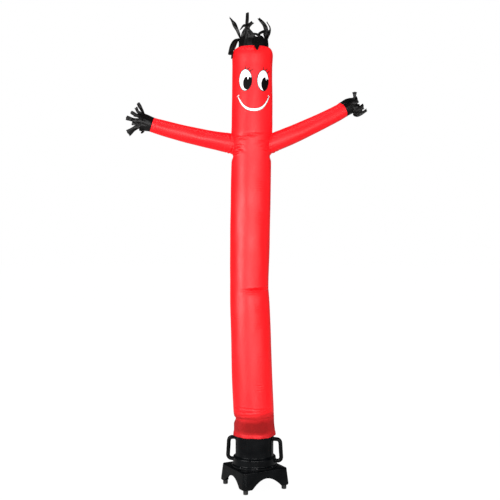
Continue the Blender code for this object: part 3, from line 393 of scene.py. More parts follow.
def nylon(name, light, dark, shadow, rough, sheen, specular, crinkle=1.0, drum_shade_band=False):
    """Thin ripstop nylon: fine weave, a grid of stronger threads, and blown-up crinkles; for the body, also painted
    shade on the band of cloth over the drum.
    """
    skin = Skin(name)
    place, uv = skin.here(), skin.cloth_uv()
    cloud = skin.noise(place, 2.6, 3.0)
    colour = skin.blend(skin.ramp(cloud, 0.34, 0.66), light, dark)
    grid = skin.node("ShaderNodeTexBrick", offset=0.0, squash=1.0)
    for key, value in (("Scale", 1.0), ("Mortar Size", 0.00035), ("Mortar Smooth", 0.6),
                       ("Brick Width", 0.0058), ("Row Height", 0.0058)):
        grid.inputs[key].default_value = value
    skin.link(uv, grid.inputs["Vector"])
    threads = grid.outputs["Fac"]
    colour = skin.blend(skin.sum("MULTIPLY", threads, 0.22), colour, shadow)
    # painted shade: a band of the cloth over the drum is drawn toward the shadow colour, where the drum behind it keeps
    # light from shining through
    if drum_shade_band:
        split = skin.node("ShaderNodeSeparateXYZ")
        skin.link(place, split.inputs[0])
        z = split.outputs["Z"]
        wobble = skin.sum("MULTIPLY", skin.sum("SUBTRACT", skin.noise(place, 11.0, 2.0), 0.5), 0.030)
        z = skin.sum("ADD", z, wobble)
        top = skin.sum("MULTIPLY", skin.ramp(z, 0.5100, 0.5450, 1.0, 0.72), skin.ramp(z, 0.5550, 0.6100, 1.0, 0.0))
        low = skin.ramp(z, 0.4180, 0.4600, 0.66, 1.0)
        band = skin.sum("MULTIPLY", top, low)
        # painted shade: the drum behind the cloth keeps light from shining through it, deepest in front where the
        # drum's wall lies against the cloth, and less so at the sides
        beside = skin.sum("ABSOLUTE", skin.sum("SUBTRACT", split.outputs["X"], AXIS[0]))
        near = skin.ramp(beside, 0.040, 0.160, 1.0, 0.80)
        near = skin.sum("MULTIPLY", near, skin.ramp(skin.noise(place, 9.0, 2.0), 0.20, 0.55, 0.90, 1.0))
        drum_shade = skin.sum("MULTIPLY", band, near)
        colour = skin.blend(drum_shade, colour, shadow)
    # fine crinkles, drawn out sideways as air folds the cloth
    fine = skin.noise(place, 34.0, 5.0, 0.55, (1.0, 1.0, 2.2))
    broad = skin.noise(place, 7.0, 3.0, 0.5, (1.0, 1.0, 0.55))
    normal = skin.bump(broad, 0.0026 * crinkle, 0.5)
    normal = skin.bump(fine, 0.0009 * crinkle, 0.5, normal)
    normal = skin.bump(threads, 0.00012, 0.6, normal)
    weave = skin.node("ShaderNodeTexWave", wave_type="BANDS", bands_direction="DIAGONAL")
    weave.inputs["Scale"].default_value = 330.0
    skin.link(uv, weave.inputs["Vector"])
    normal = skin.bump(weave.outputs["Fac"], 0.00004, 0.5, normal)
    roughness = skin.ramp(skin.noise(place, 6.0, 4.0), 0.30, 0.70, rough - 0.05, rough + 0.06, False)
    if drum_shade_band:  # cloth pressed on the drum has lost its gloss
        roughness = skin.sum("ADD", roughness, skin.sum("MULTIPLY", drum_shade, 0.60))
    skin.shader.inputs["Specular IOR Level"].default_value = specular
    skin.shader.inputs["Sheen Weight"].default_value = sheen
    skin.shader.inputs["Sheen Roughness"].default_value = 0.45
    skin.shader.inputs["Sheen Tint"].default_value = (*[min(1.0, 0.35 + c) for c in light], 1.0)
    return skin.finish(colour, roughness, normal)


def moulded(name, base, scuff, rough, grain=1.0):
    """Black moulded plastic: spark grain, faint flow marks, and edges rubbed grey."""
    skin = Skin(name)
    place = skin.here()
    mottle = skin.noise(place, 9.0, 5.0, 0.6)
    colour = skin.blend(skin.ramp(mottle, 0.35, 0.70), base, tuple(1.5 * c + 0.002 for c in base))
    edge = skin.node("ShaderNodeNewGeometry").outputs["Pointiness"]
    rub = skin.ramp(edge, 0.515, 0.60)
    rub = skin.sum("MULTIPLY", rub, skin.ramp(skin.noise(place, 38.0, 6.0, 0.65), 0.42, 0.66))
    colour = skin.blend(skin.sum("MULTIPLY", rub, 0.75), colour, scuff)
    marks = skin.ramp(skin.noise(place, 14.0, 8.0, 0.7, (1.0, 1.0, 6.0)), 0.60, 0.78)
    colour = skin.blend(skin.sum("MULTIPLY", marks, 0.30), colour, scuff)
    split = skin.node("ShaderNodeSeparateXYZ")
    skin.link(place, split.inputs[0])
    dust = skin.sum("MULTIPLY", skin.ramp(split.outputs["Z"], 0.10, 0.0, 0.0, 0.35), skin.noise(place, 20.0, 6.0, 0.6))
    colour = skin.blend(dust, colour, (0.014, 0.013, 0.012))
    normal = skin.bump(skin.noise(place, 620.0, 2.0), 0.00022 * grain, 0.7)
    normal = skin.bump(skin.noise(place, 12.0, 2.0), 0.0010, 0.35, normal)
    roughness = skin.ramp(skin.noise(place, 26.0, 6.0, 0.6), 0.30, 0.72, rough - 0.07, rough + 0.09, False)
    skin.shader.inputs["Specular IOR Level"].default_value = 0.12
    return skin.finish(colour, roughness, normal)


def rubber(name):
    skin = Skin(name)
    place = skin.here()
    colour = skin.blend(skin.ramp(skin.noise(place, 40.0, 5.0), 0.35, 0.70), (0.008, 0.008, 0.008), (0.020, 0.019, 0.018))
    split = skin.node("ShaderNodeSeparateXYZ")
    skin.link(place, split.inputs[0])
    dust = skin.sum("MULTIPLY", skin.ramp(split.outputs["Z"], 0.012, 0.0, 0.0, 0.8), skin.noise(place, 60.0, 6.0, 0.7))
    colour = skin.blend(dust, colour, (0.11, 0.10, 0.09))
    normal = skin.bump(skin.noise(place, 420.0, 3.0), 0.0003, 0.6)
    roughness = skin.ramp(skin.noise(place, 50.0, 4.0), 0.3, 0.7, 0.66, 0.86, False)
    return skin.finish(colour, roughness, normal)


def painted_metal(name):
    skin = Skin(name)
    place = skin.here()
    cloud = skin.noise(place, 18.0, 5.0)
    colour = skin.blend(skin.ramp(cloud, 0.35, 0.70), (0.075, 0.077, 0.082), (0.125, 0.125, 0.130))
    chips = skin.ramp(skin.noise(place, 160.0, 5.0, 0.7), 0.66, 0.72)
    colour = skin.blend(chips, colour, (0.24, 0.235, 0.23))
    normal = skin.bump(skin.noise(place, 300.0, 3.0), 0.0002, 0.5)
    roughness = skin.ramp(skin.noise(place, 30.0, 4.0), 0.3, 0.7, 0.40, 0.58, False)
    skin.shader.inputs["Metallic"].default_value = 0.6
    return skin.finish(colour, roughness, normal)


def thread(name, light, dark, rough=0.5):
    """Sewing thread: twisted strands of two shades."""
    skin = Skin(name)
    place = skin.here()
    strands = skin.noise(place, 900.0, 2.0)
    colour = skin.blend(skin.ramp(strands, 0.35, 0.65), light, dark)
    normal = skin.bump(strands, 0.0002, 0.6)
    return skin.finish(colour, skin.ramp(strands, 0.3, 0.7, rough - 0.06, rough + 0.08, False), normal)


RED_LIGHT, RED_DARK, RED_SHADOW = (0.96, 0.0016, 0.0075), (0.93, 0.0004, 0.0040), (0.24, 0.0002, 0.0005)
# the body's red carries the painted shade band over the drum
red = nylon("nylon_red", RED_LIGHT, RED_DARK, RED_SHADOW, 0.42, 0.01, 0.45, 1.0, True)
red_trim = nylon("nylon_red_trim", (0.93, 0.006, 0.016), (0.84, 0.003, 0.009), RED_SHADOW, 0.52, 0.08, 0.40, 1.3)
# painted shade: a darker copy of the red nylon for the hem, which lies doubled on the black drum where no light shines
# through it
red_hem_shaded = nylon("nylon_red_hem", (0.60, 0.003, 0.008), (0.46, 0.002, 0.005), RED_SHADOW, 0.56, 0.02, 0.34, 1.3)
black = nylon("nylon_black", (0.0035, 0.0031, 0.0031), (0.0018, 0.0017, 0.0018), (0.0010, 0.0010, 0.0010), 0.38, 0.02, 0.26, 2.4)
white = nylon("face_white", (0.92, 0.90, 0.90), (0.86, 0.83, 0.84), (0.66, 0.60, 0.61), 0.55, 0.10, 0.40, 0.5)
ink = nylon("face_black", (0.0040, 0.0028, 0.0030), (0.0024, 0.0018, 0.0020), (0.0015, 0.0012, 0.0012), 0.50, 0.01, 0.10, 0.5)
plastic = moulded("plastic_black", (0.0010, 0.0013, 0.0017), (0.018, 0.016, 0.016), 0.22)
grip_plastic = moulded("grip_black", (0.0012, 0.0013, 0.0016), (0.012, 0.011, 0.011), 0.36, 1.6)
sole = rubber("rubber_black")
metal = painted_metal("motor_metal")
red_thread = thread("thread_red", (0.80, 0.006, 0.012), (0.42, 0.002, 0.004))
dark_thread = thread("thread_dark", (0.045, 0.002, 0.004), (0.016, 0.001, 0.002))
black_thread = thread("thread_black", (0.020, 0.016, 0.016), (0.008, 0.007, 0.007))


# ---------------------------------------------------------------- helpers
def place(name, mesh, skin, slot=None, smooth=60.0):
    """Stands a mesh laid out about the blower's axis in the part frame, riding on the one body."""
    mesh.transform(Matrix.Translation(Vector(AXIS)))
    mesh.materials.append(skin)
    if smooth:
        mesh.shade_smooth()
        if smooth < 180.0:
            mesh.set_sharp_from_angle(angle=math.radians(smooth))
    made = bpy.data.objects.new(name, mesh)
    bpy.context.scene.collection.objects.link(made)
    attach(made, "root")
    return made


def plain_mesh(name, points, faces):
    mesh = bpy.data.meshes.new(name)
    mesh.from_pydata([tuple(float(c) for c in p) for p in points], [], faces)
    mesh.update()
    return mesh


def sheet_mesh(name, points, wrap=False, size=None, keep=None, flip=False):
    """A grid of points (rows, columns, 3) as quads, with a map named cloth in metres.
    size is the (width, length) that the map covers; keep masks the quads."""
    rows, columns = points.shape[:2]
    index = np.arange(rows * columns).reshape(rows, columns)
    right = np.roll(index, -1, axis=1) if wrap else index[:, 1:]
    left = index if wrap else index[:, :-1]
    quads = np.stack([left[:-1], right[:-1], right[1:], left[1:]], axis=-1)
    across = quads.shape[1]
    u0, v0 = np.meshgrid(np.arange(across), np.arange(rows - 1))
    us = np.stack([u0, u0 + 1, u0 + 1, u0], axis=-1) / across
    vs = np.stack([v0, v0, v0 + 1, v0 + 1], axis=-1) / (rows - 1)
    if flip:
        quads, us, vs = quads[..., ::-1], us[..., ::-1], vs[..., ::-1]
    quads, us, vs = quads.reshape(-1, 4), us.reshape(-1, 4), vs.reshape(-1, 4)
    if keep is not None:
        chosen = keep.reshape(-1)
        quads, us, vs = quads[chosen], us[chosen], vs[chosen]
    flat = points.reshape(-1, 3)
    used = np.unique(quads)
    new = np.full(len(flat), -1)
    new[used] = np.arange(len(used))
    mesh = bpy.data.meshes.new(name)
    mesh.from_pydata(flat[used].tolist(), [], new[quads].tolist())
    mesh.update()
    width, length = size or (1.0, 1.0)
    layer = mesh.uv_layers.new(name="cloth")
    layer.data.foreach_set("uv", np.stack([us * width, vs * length], axis=-1).reshape(-1).astype(np.float32))
    return mesh


def through(rows, keys):
    """Values on the smooth curve through rows of (key, values...)."""
    rows = np.array(rows, float)
    key, value = rows[:, 0], rows[:, 1:]
    keys = np.clip(np.asarray(keys, float), key[0], key[-1])
    shape = keys.shape
    keys = keys.reshape(-1)
    i = np.clip(np.searchsorted(key, keys, side="right") - 1, 0, len(key) - 2)
    span = key[i + 1] - key[i]
    t = ((keys - key[i]) / span)[:, None]
    before, after = np.maximum(i - 1, 0), np.minimum(i + 2, len(key) - 1)
    m0 = (value[i + 1] - value[before]) / (key[i + 1] - key[before])[:, None] * span[:, None]
    m1 = (value[after] - value[i]) / (key[after] - key[i])[:, None] * span[:, None]
    made = ((2 * t**3 - 3 * t**2 + 1) * value[i] + (t**3 - 2 * t**2 + t) * m0
            + (-2 * t**3 + 3 * t**2) * value[i + 1] + (t**3 - t**2) * m1)
    return made.reshape(*shape, -1)


def apart(a, b):
    return (a - b + 180.0) % 360.0 - 180.0


def step(x, low, high):
    t = np.clip((x - low) / (high - low), 0.0, 1.0)
    return t * t * (3 - 2 * t)


def relief(angle, z):
    """How far the cloth of the body lies outside its plain tube, in metres."""
    out = np.zeros(np.broadcast(angle, z).shape)
    for a, fz, reach, height, depth, rise in FOLDS:
        off = apart(angle, a)
        out = out - depth * np.exp(-((off / reach) ** 2) - ((z - fz - rise * off) / height) ** 2)
    for a, fz, reach, height, depth, rise, lip in CREASES:
        off = apart(angle, a)
        wander = 0.0016 * np.sin(off * 0.31 + fz * 90.0) + 0.0009 * np.sin(off * 0.83 + fz * 37.0)
        s = (z - fz - rise * off - wander) / height
        out = out - CREASE_GAIN * depth * np.exp(-((off / reach) ** 2)) * (
            np.exp(-np.abs(s) ** 1.6) - lip * np.exp(-((s + 2.0) / 1.1) ** 2) - 0.25 * lip * np.exp(-((s - 2.2) / 1.2) ** 2))
    for a, reach, low, high, spacing, depth in RIPPLES:
        off = apart(angle, a)
        window = step(z, low - 0.006, low + 0.012) * (1 - step(z, high - 0.012, high + 0.006))
        phase = 2 * np.pi * z / spacing + 0.6 * np.sin(off * 0.21 + low * 11.0) + off * 0.02
        out = out + RIPPLE_GAIN * depth * np.exp(-((off / reach) ** 2)) * window * np.sin(phase)
    turn = np.radians(angle)
    calm = step(z, 0.50, 0.62) * (1 - step(z, 3.24, 3.32))
    for turns, climb, phase, depth in SWELLS:
        out = out + depth * calm * np.sin(turns * turn + 2 * np.pi * climb * z + phase)
    # gathers under the fringe, and the slack hem over the blower
    gather = step(z, 3.300, 3.362)
    out = out + gather * (0.0016 * np.sin(23 * turn + 0.8 * np.sin(5 * turn)) + 0.0010 * np.sin(37 * turn + 1.1))
    slack = 1 - step(z, 0.425, 0.520)
    out = out + slack * (0.0013 * np.sin(6 * turn + 18.0 * z) + 0.0009 * np.sin(11 * turn - 40.0 * z + 1.0)
                         + 0.0006 * np.sin(19 * turn + 60.0 * z))
    edge = 1 - step(z, 0.405, 0.430)
    out = out + edge * (0.0016 * np.sin(4 * turn + 0.6) + 0.0012 * np.sin(9 * turn + 2.0))
    return out


def on_body(angle, z, out=0.0, fine=True):
    """Points of the body tube, out metres proud of it."""
    angle, z = np.broadcast_arrays(np.asarray(angle, float), np.asarray(z, float))
    row = through(BODY_ROWS, z)
    radius = row[..., 2] + out + (relief(angle, z) if fine else 0.0)
    a = np.radians(angle)
    drop = 0.0
    if np.min(z) < 0.44:  # the hem isn't cut quite level
        drop = (1 - step(z, 0.405, 0.440)) * (0.0022 * np.sin(3 * a + 1.0) + 0.0016 * np.sin(7 * a))
        drop = np.maximum(drop, 0.0)
    return np.stack([row[..., 0] + radius * np.cos(a), row[..., 1] + radius * np.sin(a), z + drop], axis=-1)


def body_normal(angle, z):
    a, zs = np.radians(np.asarray(angle, float)), np.asarray(z, float)
    slope = (through(BODY_ROWS, zs + 0.002)[..., 2] - through(BODY_ROWS, zs - 0.002)[..., 2]) / 0.004
    made = np.stack([np.cos(a), np.sin(a), -slope * np.ones_like(a)], axis=-1)
    return made / np.linalg.norm(made, axis=-1, keepdims=True)


def threads(name, starts, ends, normals, radius, skin, slot, bow=0.7):
    """Many short stitches as one mesh: each a small bowed grain from start to end."""
    starts, ends, normals = (np.asarray(x, float) for x in (starts, ends, normals))
    count, sides = len(starts), 5
    along = ends - starts
    side = np.cross(along, normals)
    side /= np.maximum(np.linalg.norm(side, axis=1, keepdims=True), 1e-9)
    rings = []
    for t, thick in ((0.0, 0.45), (0.22, 0.95), (0.78, 0.95), (1.0, 0.45)):
        lift = bow * radius * math.sin(math.pi * min(1.0, max(0.0, t))) + 0.0001
        middle = starts + along * t + normals * lift
        for k in range(sides):
            a = 2 * math.pi * k / sides
            rings.append(middle + radius * thick * (math.cos(a) * side + math.sin(a) * normals))
    points = np.stack(rings, axis=1).reshape(-1, 3)
    faces = []
    base = np.arange(count) * 4 * sides
    pattern = []
    for r in range(3):
        for k in range(sides):
            n = (k + 1) % sides
            pattern.append((r * sides + k, r * sides + n, (r + 1) * sides + n, (r + 1) * sides + k))
    for quad in pattern:
        faces += (base[:, None] + np.array(quad)[None, :]).tolist()
    cap = list(range(sides))
    faces += (base[:, None] + np.array(cap[::-1])[None, :]).tolist()
    faces += (base[:, None] + np.array(cap)[None, :] + 3 * sides).tolist()
    mesh = bpy.data.meshes.new(name)
    mesh.from_pydata(points.tolist(), [], faces)
    mesh.update()
    return place(name, mesh, skin, slot, 180.0)


def run(points, normals, stitch, gap, closed=False):
    """Starts, ends and normals of stitches that follow a line."""
    points, normals = np.asarray(points, float), np.asarray(normals, float)
    if closed:
        points, normals = np.vstack([points, points[:1]]), np.vstack([normals, normals[:1]])
    gone = np.concatenate([[0.0], np.cumsum(np.linalg.norm(np.diff(points, axis=0), axis=1))])
    total = gone[-1]
    count = max(1, int(total / (stitch + gap)))
    pitch = total / count

    def at(s):
        return np.stack([np.interp(s, gone, points[:, k]) for k in range(3)], axis=1)

    def normal_at(s):
        made = np.stack([np.interp(s, gone, normals[:, k]) for k in range(3)], axis=1)
        return made / np.linalg.norm(made, axis=1, keepdims=True)

    first = np.arange(count) * pitch + 0.5 * gap
    last = first + pitch * stitch / (stitch + gap)
    return at(first), at(last), normal_at((first + last) / 2)


def rope(name, points, radius, skin, slot, closed=True, sides=10, radii=None):
    """A round cord of cloth through points."""
    points = np.asarray(points, float)
    count = len(points)
    if closed:
        along = np.roll(points, -1, axis=0) - np.roll(points, 1, axis=0)
    else:
        along = np.gradient(points, axis=0)
    along /= np.linalg.norm(along, axis=1, keepdims=True)
    normal = np.zeros_like(points)
    first = np.cross(along[0], (0.0, 0.0, 1.0))
    if np.linalg.norm(first) < 1e-3:
        first = np.cross(along[0], (1.0, 0.0, 0.0))
    normal[0] = first / np.linalg.norm(first)
    for k in range(1, count):
        n = normal[k - 1] - along[k] * np.dot(normal[k - 1], along[k])
        normal[k] = n / np.linalg.norm(n)
    if closed:  # take up the twist left over, so that the ends meet
        n = normal[-1] - along[0] * np.dot(normal[-1], along[0])
        n /= np.linalg.norm(n)
        twist = math.atan2(float(np.dot(np.cross(n, normal[0]), along[0])), float(np.dot(n, normal[0])))
    else:
        twist = 0.0
    other = np.cross(along, normal)
    thick = np.full(count, radius) if radii is None else np.asarray(radii)
    a = 2 * np.pi * np.arange(sides) / sides
    turn = (twist * np.arange(count) / count)[:, None]
    ring = (np.cos(a[None, :] + turn)[..., None] * normal[:, None, :]
            + np.sin(a[None, :] + turn)[..., None] * other[:, None, :]) * thick[:, None, None]
    grid = points[:, None, :] + ring
    if closed:
        grid = np.concatenate([grid, grid[:1]], axis=0)
    length = float(np.linalg.norm(np.diff(points, axis=0), axis=1).sum())
    mesh = sheet_mesh(name, grid, wrap=True, size=(2 * math.pi * radius, length))
    work = bmesh.new()
    work.from_mesh(mesh)
    bmesh.ops.remove_doubles(work, verts=work.verts[:], dist=1e-6)
    if not closed:
        bmesh.ops.holes_fill(work, edges=[e for e in work.edges if e.is_boundary], sides=0)
    bmesh.ops.recalc_face_normals(work, faces=work.faces[:])
    work.to_mesh(mesh)
    work.free()
    return place(name, mesh, skin, slot, 60.0)


def turned(profile, segments, spin=0.0):
    """A closed profile of (radius, z), clockwise when +X is right and +Z up, spun about Z."""
    points, rows = [], []
    for radius, z in profile:
        if radius == 0.0:
            rows.append([len(points)])
            points.append((0.0, 0.0, z))
            continue
        rows.append(list(range(len(points), len(points) + segments)))
        for s in range(segments):
            a = 2 * math.pi * s / segments + spin
            points.append((radius * math.cos(a), radius * math.sin(a), z))
    faces = []
    for i, upper in enumerate(rows):
        lower = rows[(i + 1) % len(rows)]
        if len(upper) == 1 and len(lower) == 1:
            continue
        for s in range(segments):
            t = (s + 1) % segments
            corner = [upper[s % len(upper)], lower[s % len(lower)], lower[t % len(lower)], upper[t % len(upper)]]
            faces.append(tuple(v for k, v in enumerate(corner) if v not in corner[:k]))
    return points, faces


def outward(mesh):
    work = bmesh.new()
    work.from_mesh(mesh)
    bmesh.ops.recalc_face_normals(work, faces=work.faces[:])
    work.to_mesh(mesh)
    work.free()
    return mesh


def baked(obj):
    """Applies an object's modifiers to its mesh."""
    bpy.context.view_layer.update()
    found = bpy.data.meshes.new_from_object(obj.evaluated_get(bpy.context.evaluated_depsgraph_get()))
    obj.modifiers.clear()
    old = obj.data
    obj.data = found
    bpy.data.meshes.remove(old)
    return obj


# ----------------------------------------------------------------- arms
def unit(v):
    return v / np.linalg.norm(v, axis=-1, keepdims=True)


class Arm:
    """A sleeve that starts on the body's surface and follows its rows."""

    def __init__(self, rows, creases):
        rows = np.array(rows, float)
        gone = np.concatenate([[0.0], np.cumsum(np.linalg.norm(np.diff(rows[:, :3], axis=0), axis=1))])
        self.table = np.column_stack([gone, rows])
        self.length = gone[-1]
        self.creases = creases
        # the CAD's own last section, so that the fringe meets it
        self.wrist = rows[-1, :3]
        self.wrist_along = unit(rows[-1, :3] - rows[-2, :3])
        self.wrist_radius = rows[-1, 3]

    def frame(self, t):
        row = through(self.table, t)
        ahead = through(self.table, np.minimum(t + 0.004, self.length))[..., :3]
        behind = through(self.table, np.maximum(t - 0.004, 0.0))[..., :3]
        along = unit(ahead - behind)
        side = unit(np.cross(along, (0.0, 0.0, 1.0)))
        top = unit(np.cross(side, along))
        return row[..., :3], along, side, top, row[..., 3]

    def points(self, t, a, root=None, out=0.0):
        """t along the arm and a about it (degrees), both arrays of one shape."""
        centre, along, side, top, radius = self.frame(t)
        turn = np.radians(a)
        radius = radius + out
        if root is not None:
            share = (t - root) / (self.length - root)
            near = t - root
            radius = radius + 0.0015 * np.exp(-near / 0.022) * np.sin(19 * turn + 1.3 * np.sin(4 * turn))
            radius = radius - 0.0020 * np.exp(-((near - 0.006) / 0.008) ** 2)
            last = self.length - t
            radius = radius + 0.0012 * np.exp(-last / 0.016) * np.sin(17 * turn + 1.0)
            for at, angle, reach, height, depth in self.creases:
                off = apart(a, angle)
                s = (near - at * (self.length - root) - 0.0003 * off * np.sin(at * 40.0)) / height
                radius = radius - depth * np.exp(-((off / reach) ** 2)) * (
                    np.exp(-np.abs(s) ** 1.6) - 0.5 * np.exp(-((s + 2.0) / 1.1) ** 2))
            radius = radius + 0.0008 * np.sin(2 * turn + 9.0 * t) + 0.0005 * np.sin(5 * turn - 14.0 * t + 1.0)
            radius = radius + 0.0004 * np.sin(3 * turn + 26.0 * t + share)
        return centre + radius[..., None] * (np.cos(turn)[..., None] * side + np.sin(turn)[..., None] * top)

    def root(self, a):
        """Where each of the sleeve's lines leaves the body's surface."""
        t = np.linspace(0.0, self.length * 0.45, 500)
        tt, aa = np.meshgrid(t, a, indexing="ij")
        p = self.points(tt, aa)
        row = through(BODY_ROWS, p[..., 2])
        dx, dy = p[..., 0] - row[..., 0], p[..., 1] - row[..., 1]
        angle = np.degrees(np.arctan2(dy, dx))
        gap = np.hypot(dx, dy) - (row[..., 2] + relief(angle, p[..., 2]))
        inside = gap < 0
        last = inside.shape[0] - 1 - np.argmax(inside[::-1], axis=0)
        last = np.clip(last, 0, len(t) - 2)
        k = np.arange(len(a))
        g0, g1 = gap[last, k], gap[last + 1, k]
        return t[last] + (t[1] - t[0]) * np.clip(-g0 / np.maximum(g1 - g0, 1e-9), 0.0, 1.0)


ARM_SIDES, ARM_STEPS = 112, 150
arms = {"left": Arm(ARM_LEFT_ROWS, ARM_LEFT_CREASES), "right": Arm(ARM_RIGHT_ROWS, ARM_RIGHT_CREASES)}
sleeves, armhole_edges = {}, {}
for side_name, arm in arms.items():
    a = np.arange(ARM_SIDES) * 360.0 / ARM_SIDES
    root = arm.root(a)
    u = np.linspace(0.0, 1.0, ARM_STEPS)
    u = 0.72 * u + 0.28 * u * u  # closer together at the shoulder
    t = root[None, :] + (arm.length - root[None, :]) * u[:, None]
    grid = arm.points(t, np.broadcast_to(a, t.shape), np.broadcast_to(root, t.shape))
    edge_line = arm.points(root, a)
    armhole_edges[side_name] = (edge_line, a, root)
    grid[0] = arm.points(root - 0.002, a)
    width = float(np.linalg.norm(np.diff(grid[40], axis=0), axis=1).sum())
    length = float(np.linalg.norm(np.diff(grid[:, 60], axis=0), axis=1).sum())
    mesh = sheet_mesh(f"sleeve_{side_name}", grid, wrap=True, size=(width, length), flip=True)
    sleeve = place(f"sleeve_{side_name}", mesh, red, "nylon_red", 180.0)
    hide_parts(*(("arm_left",) if side_name == "left" else ("upper_arm_right", "forearm_right")))
    sleeves[side_name] = (sleeve, width, length)

# ----------------------------------------------------------------- body
heights = [0.405]
while heights[-1] < 3.366:
    z = heights[-1]
    fine = any(low < z < high for low, high in ((0.40, 0.46), (0.52, 0.64), (1.47, 1.62), (2.54, 2.73), (3.29, 3.37)))
    middling = any(low - 0.01 < z < high for _, _, low, high, _, _ in RIPPLES)
    heights.append(z + (0.0029 if fine else 0.0043 if middling else 0.0088))
heights[-1] = 3.366
heights = np.array(heights)
BODY_SIDES = 176
angles = np.arange(BODY_SIDES) * 360.0 / BODY_SIDES + 90.0
aa, zz = np.meshgrid(angles, heights)
grid = on_body(aa, zz)
middle = (grid[:-1] + np.roll(grid, -1, axis=1)[:-1] + grid[1:] + np.roll(grid, -1, axis=1)[1:]) / 4
keep = np.ones(middle.shape[:2], bool)
for side_name, arm in arms.items():
    start, finish = arm.table[0, 1:4], arm.table[3, 1:4]
    along = unit(finish - start)
    to = middle - start
    run_along = (to * along).sum(-1)
    away = np.linalg.norm(to - run_along[..., None] * along, axis=-1)
    radius = through(arm.table, np.clip(run_along, 0.0, 0.3))[..., 3]
    keep &= ~((run_along > 0.0) & (away < radius - 0.008))
spread = np.linalg.norm(np.diff(grid, axis=0), axis=-1).sum(0)
mesh = sheet_mesh("body_cloth", grid, wrap=True, size=(0.965, float(spread.mean())), keep=keep)
body = place("body_cloth", mesh, red, "nylon_red", 180.0)
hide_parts("body_tube")

# the felled seam down the back, where the one panel closes
z = np.linspace(0.412, 3.352, 420)
across = np.linspace(-1.0, 1.0, 7)
rise = np.array((-0.0004, 0.0010, 0.0014, 0.0012, 0.0014, 0.0010, -0.0004))
seam_angle = 90.0
grid = on_body(seam_angle + across[None, :] * 2.6, z[:, None], rise[None, :] + 0.0 * z[:, None])
mesh = sheet_mesh("back_seam", grid, size=(0.014, 2.94))
back_seam = place("back_seam", mesh, red_trim, "nylon_red", 60.0)
starts, ends, normals = [], [], []
for offset in (-1.5, 1.5):
    s, e, n = run(on_body(seam_angle + offset, z, 0.0016), body_normal(np.full_like(z, seam_angle + offset), z), 0.0045, 0.0022)
    starts.append(s), ends.append(e), normals.append(n)
threads("back_stitches", np.vstack(starts), np.vstack(ends), np.vstack(normals), 0.00055, red_thread, "nylon_red")

# the hem: the cloth turned up and stitched over the blower
a = np.arange(220) * 360.0 / 220
profile = ((0.4302, 0.0000), (0.4300, 0.0012), (0.4270, 0.0018), (0.4200, 0.0020), (0.4100, 0.0020), (0.4062, 0.0019),
           (0.4046, 0.0010), (0.4046, -0.0006), (0.4062, -0.0014), (0.4160, -0.0014))
grid = np.stack([on_body(a, np.full_like(a, pz), out) for pz, out in profile])
for row, (pz, out) in enumerate(profile):
    if pz < 0.405:
        grid[row, :, 2] += pz - 0.405
mesh = sheet_mesh("hem_band", grid, wrap=True, size=(1.0, 0.05), flip=True)
# the hem wears the painted-shade copy of the red nylon
hem = place("hem_band", mesh, red_hem_shaded, "nylon_red", 60.0)
s, e, n = run(on_body(a, np.full_like(a, 0.4255), 0.0021), body_normal(a, np.full_like(a, 0.4255)), 0.0046, 0.0024, True)
threads("hem_stitches", s, e, n, 0.0006, red_thread, "nylon_red")

# the seam under the fringe on top of the head
z_top = np.full_like(a, 3.3600)
ring = on_body(a, z_top, 0.0008)
rope("crown_seam", ring, 0.0016, red_trim, "nylon_red", sides=8)
s, e, n = run(on_body(a, np.full_like(a, 3.3530), 0.0006), body_normal(a, np.full_like(a, 3.3530)), 0.0045, 0.0022, True)
threads("crown_stitches", s, e, n, 0.0006, red_thread, "nylon_red")

# armhole seams, piped and stitched
for side_name, arm in arms.items():
    line, a, root = armhole_edges[side_name]
    rope(f"armhole_seam_{side_name}", line, 0.0018, red_trim, "nylon_red", sides=8)
    outer = arm.points(root + 0.0065, a, root, 0.0004)
    centre = arm.frame(root + 0.0065)[0]
    s, e, n = run(outer, unit(outer - centre), 0.0042, 0.0020, True)
    threads(f"armhole_stitches_{side_name}", s, e, n, 0.00055, red_thread, "nylon_red")


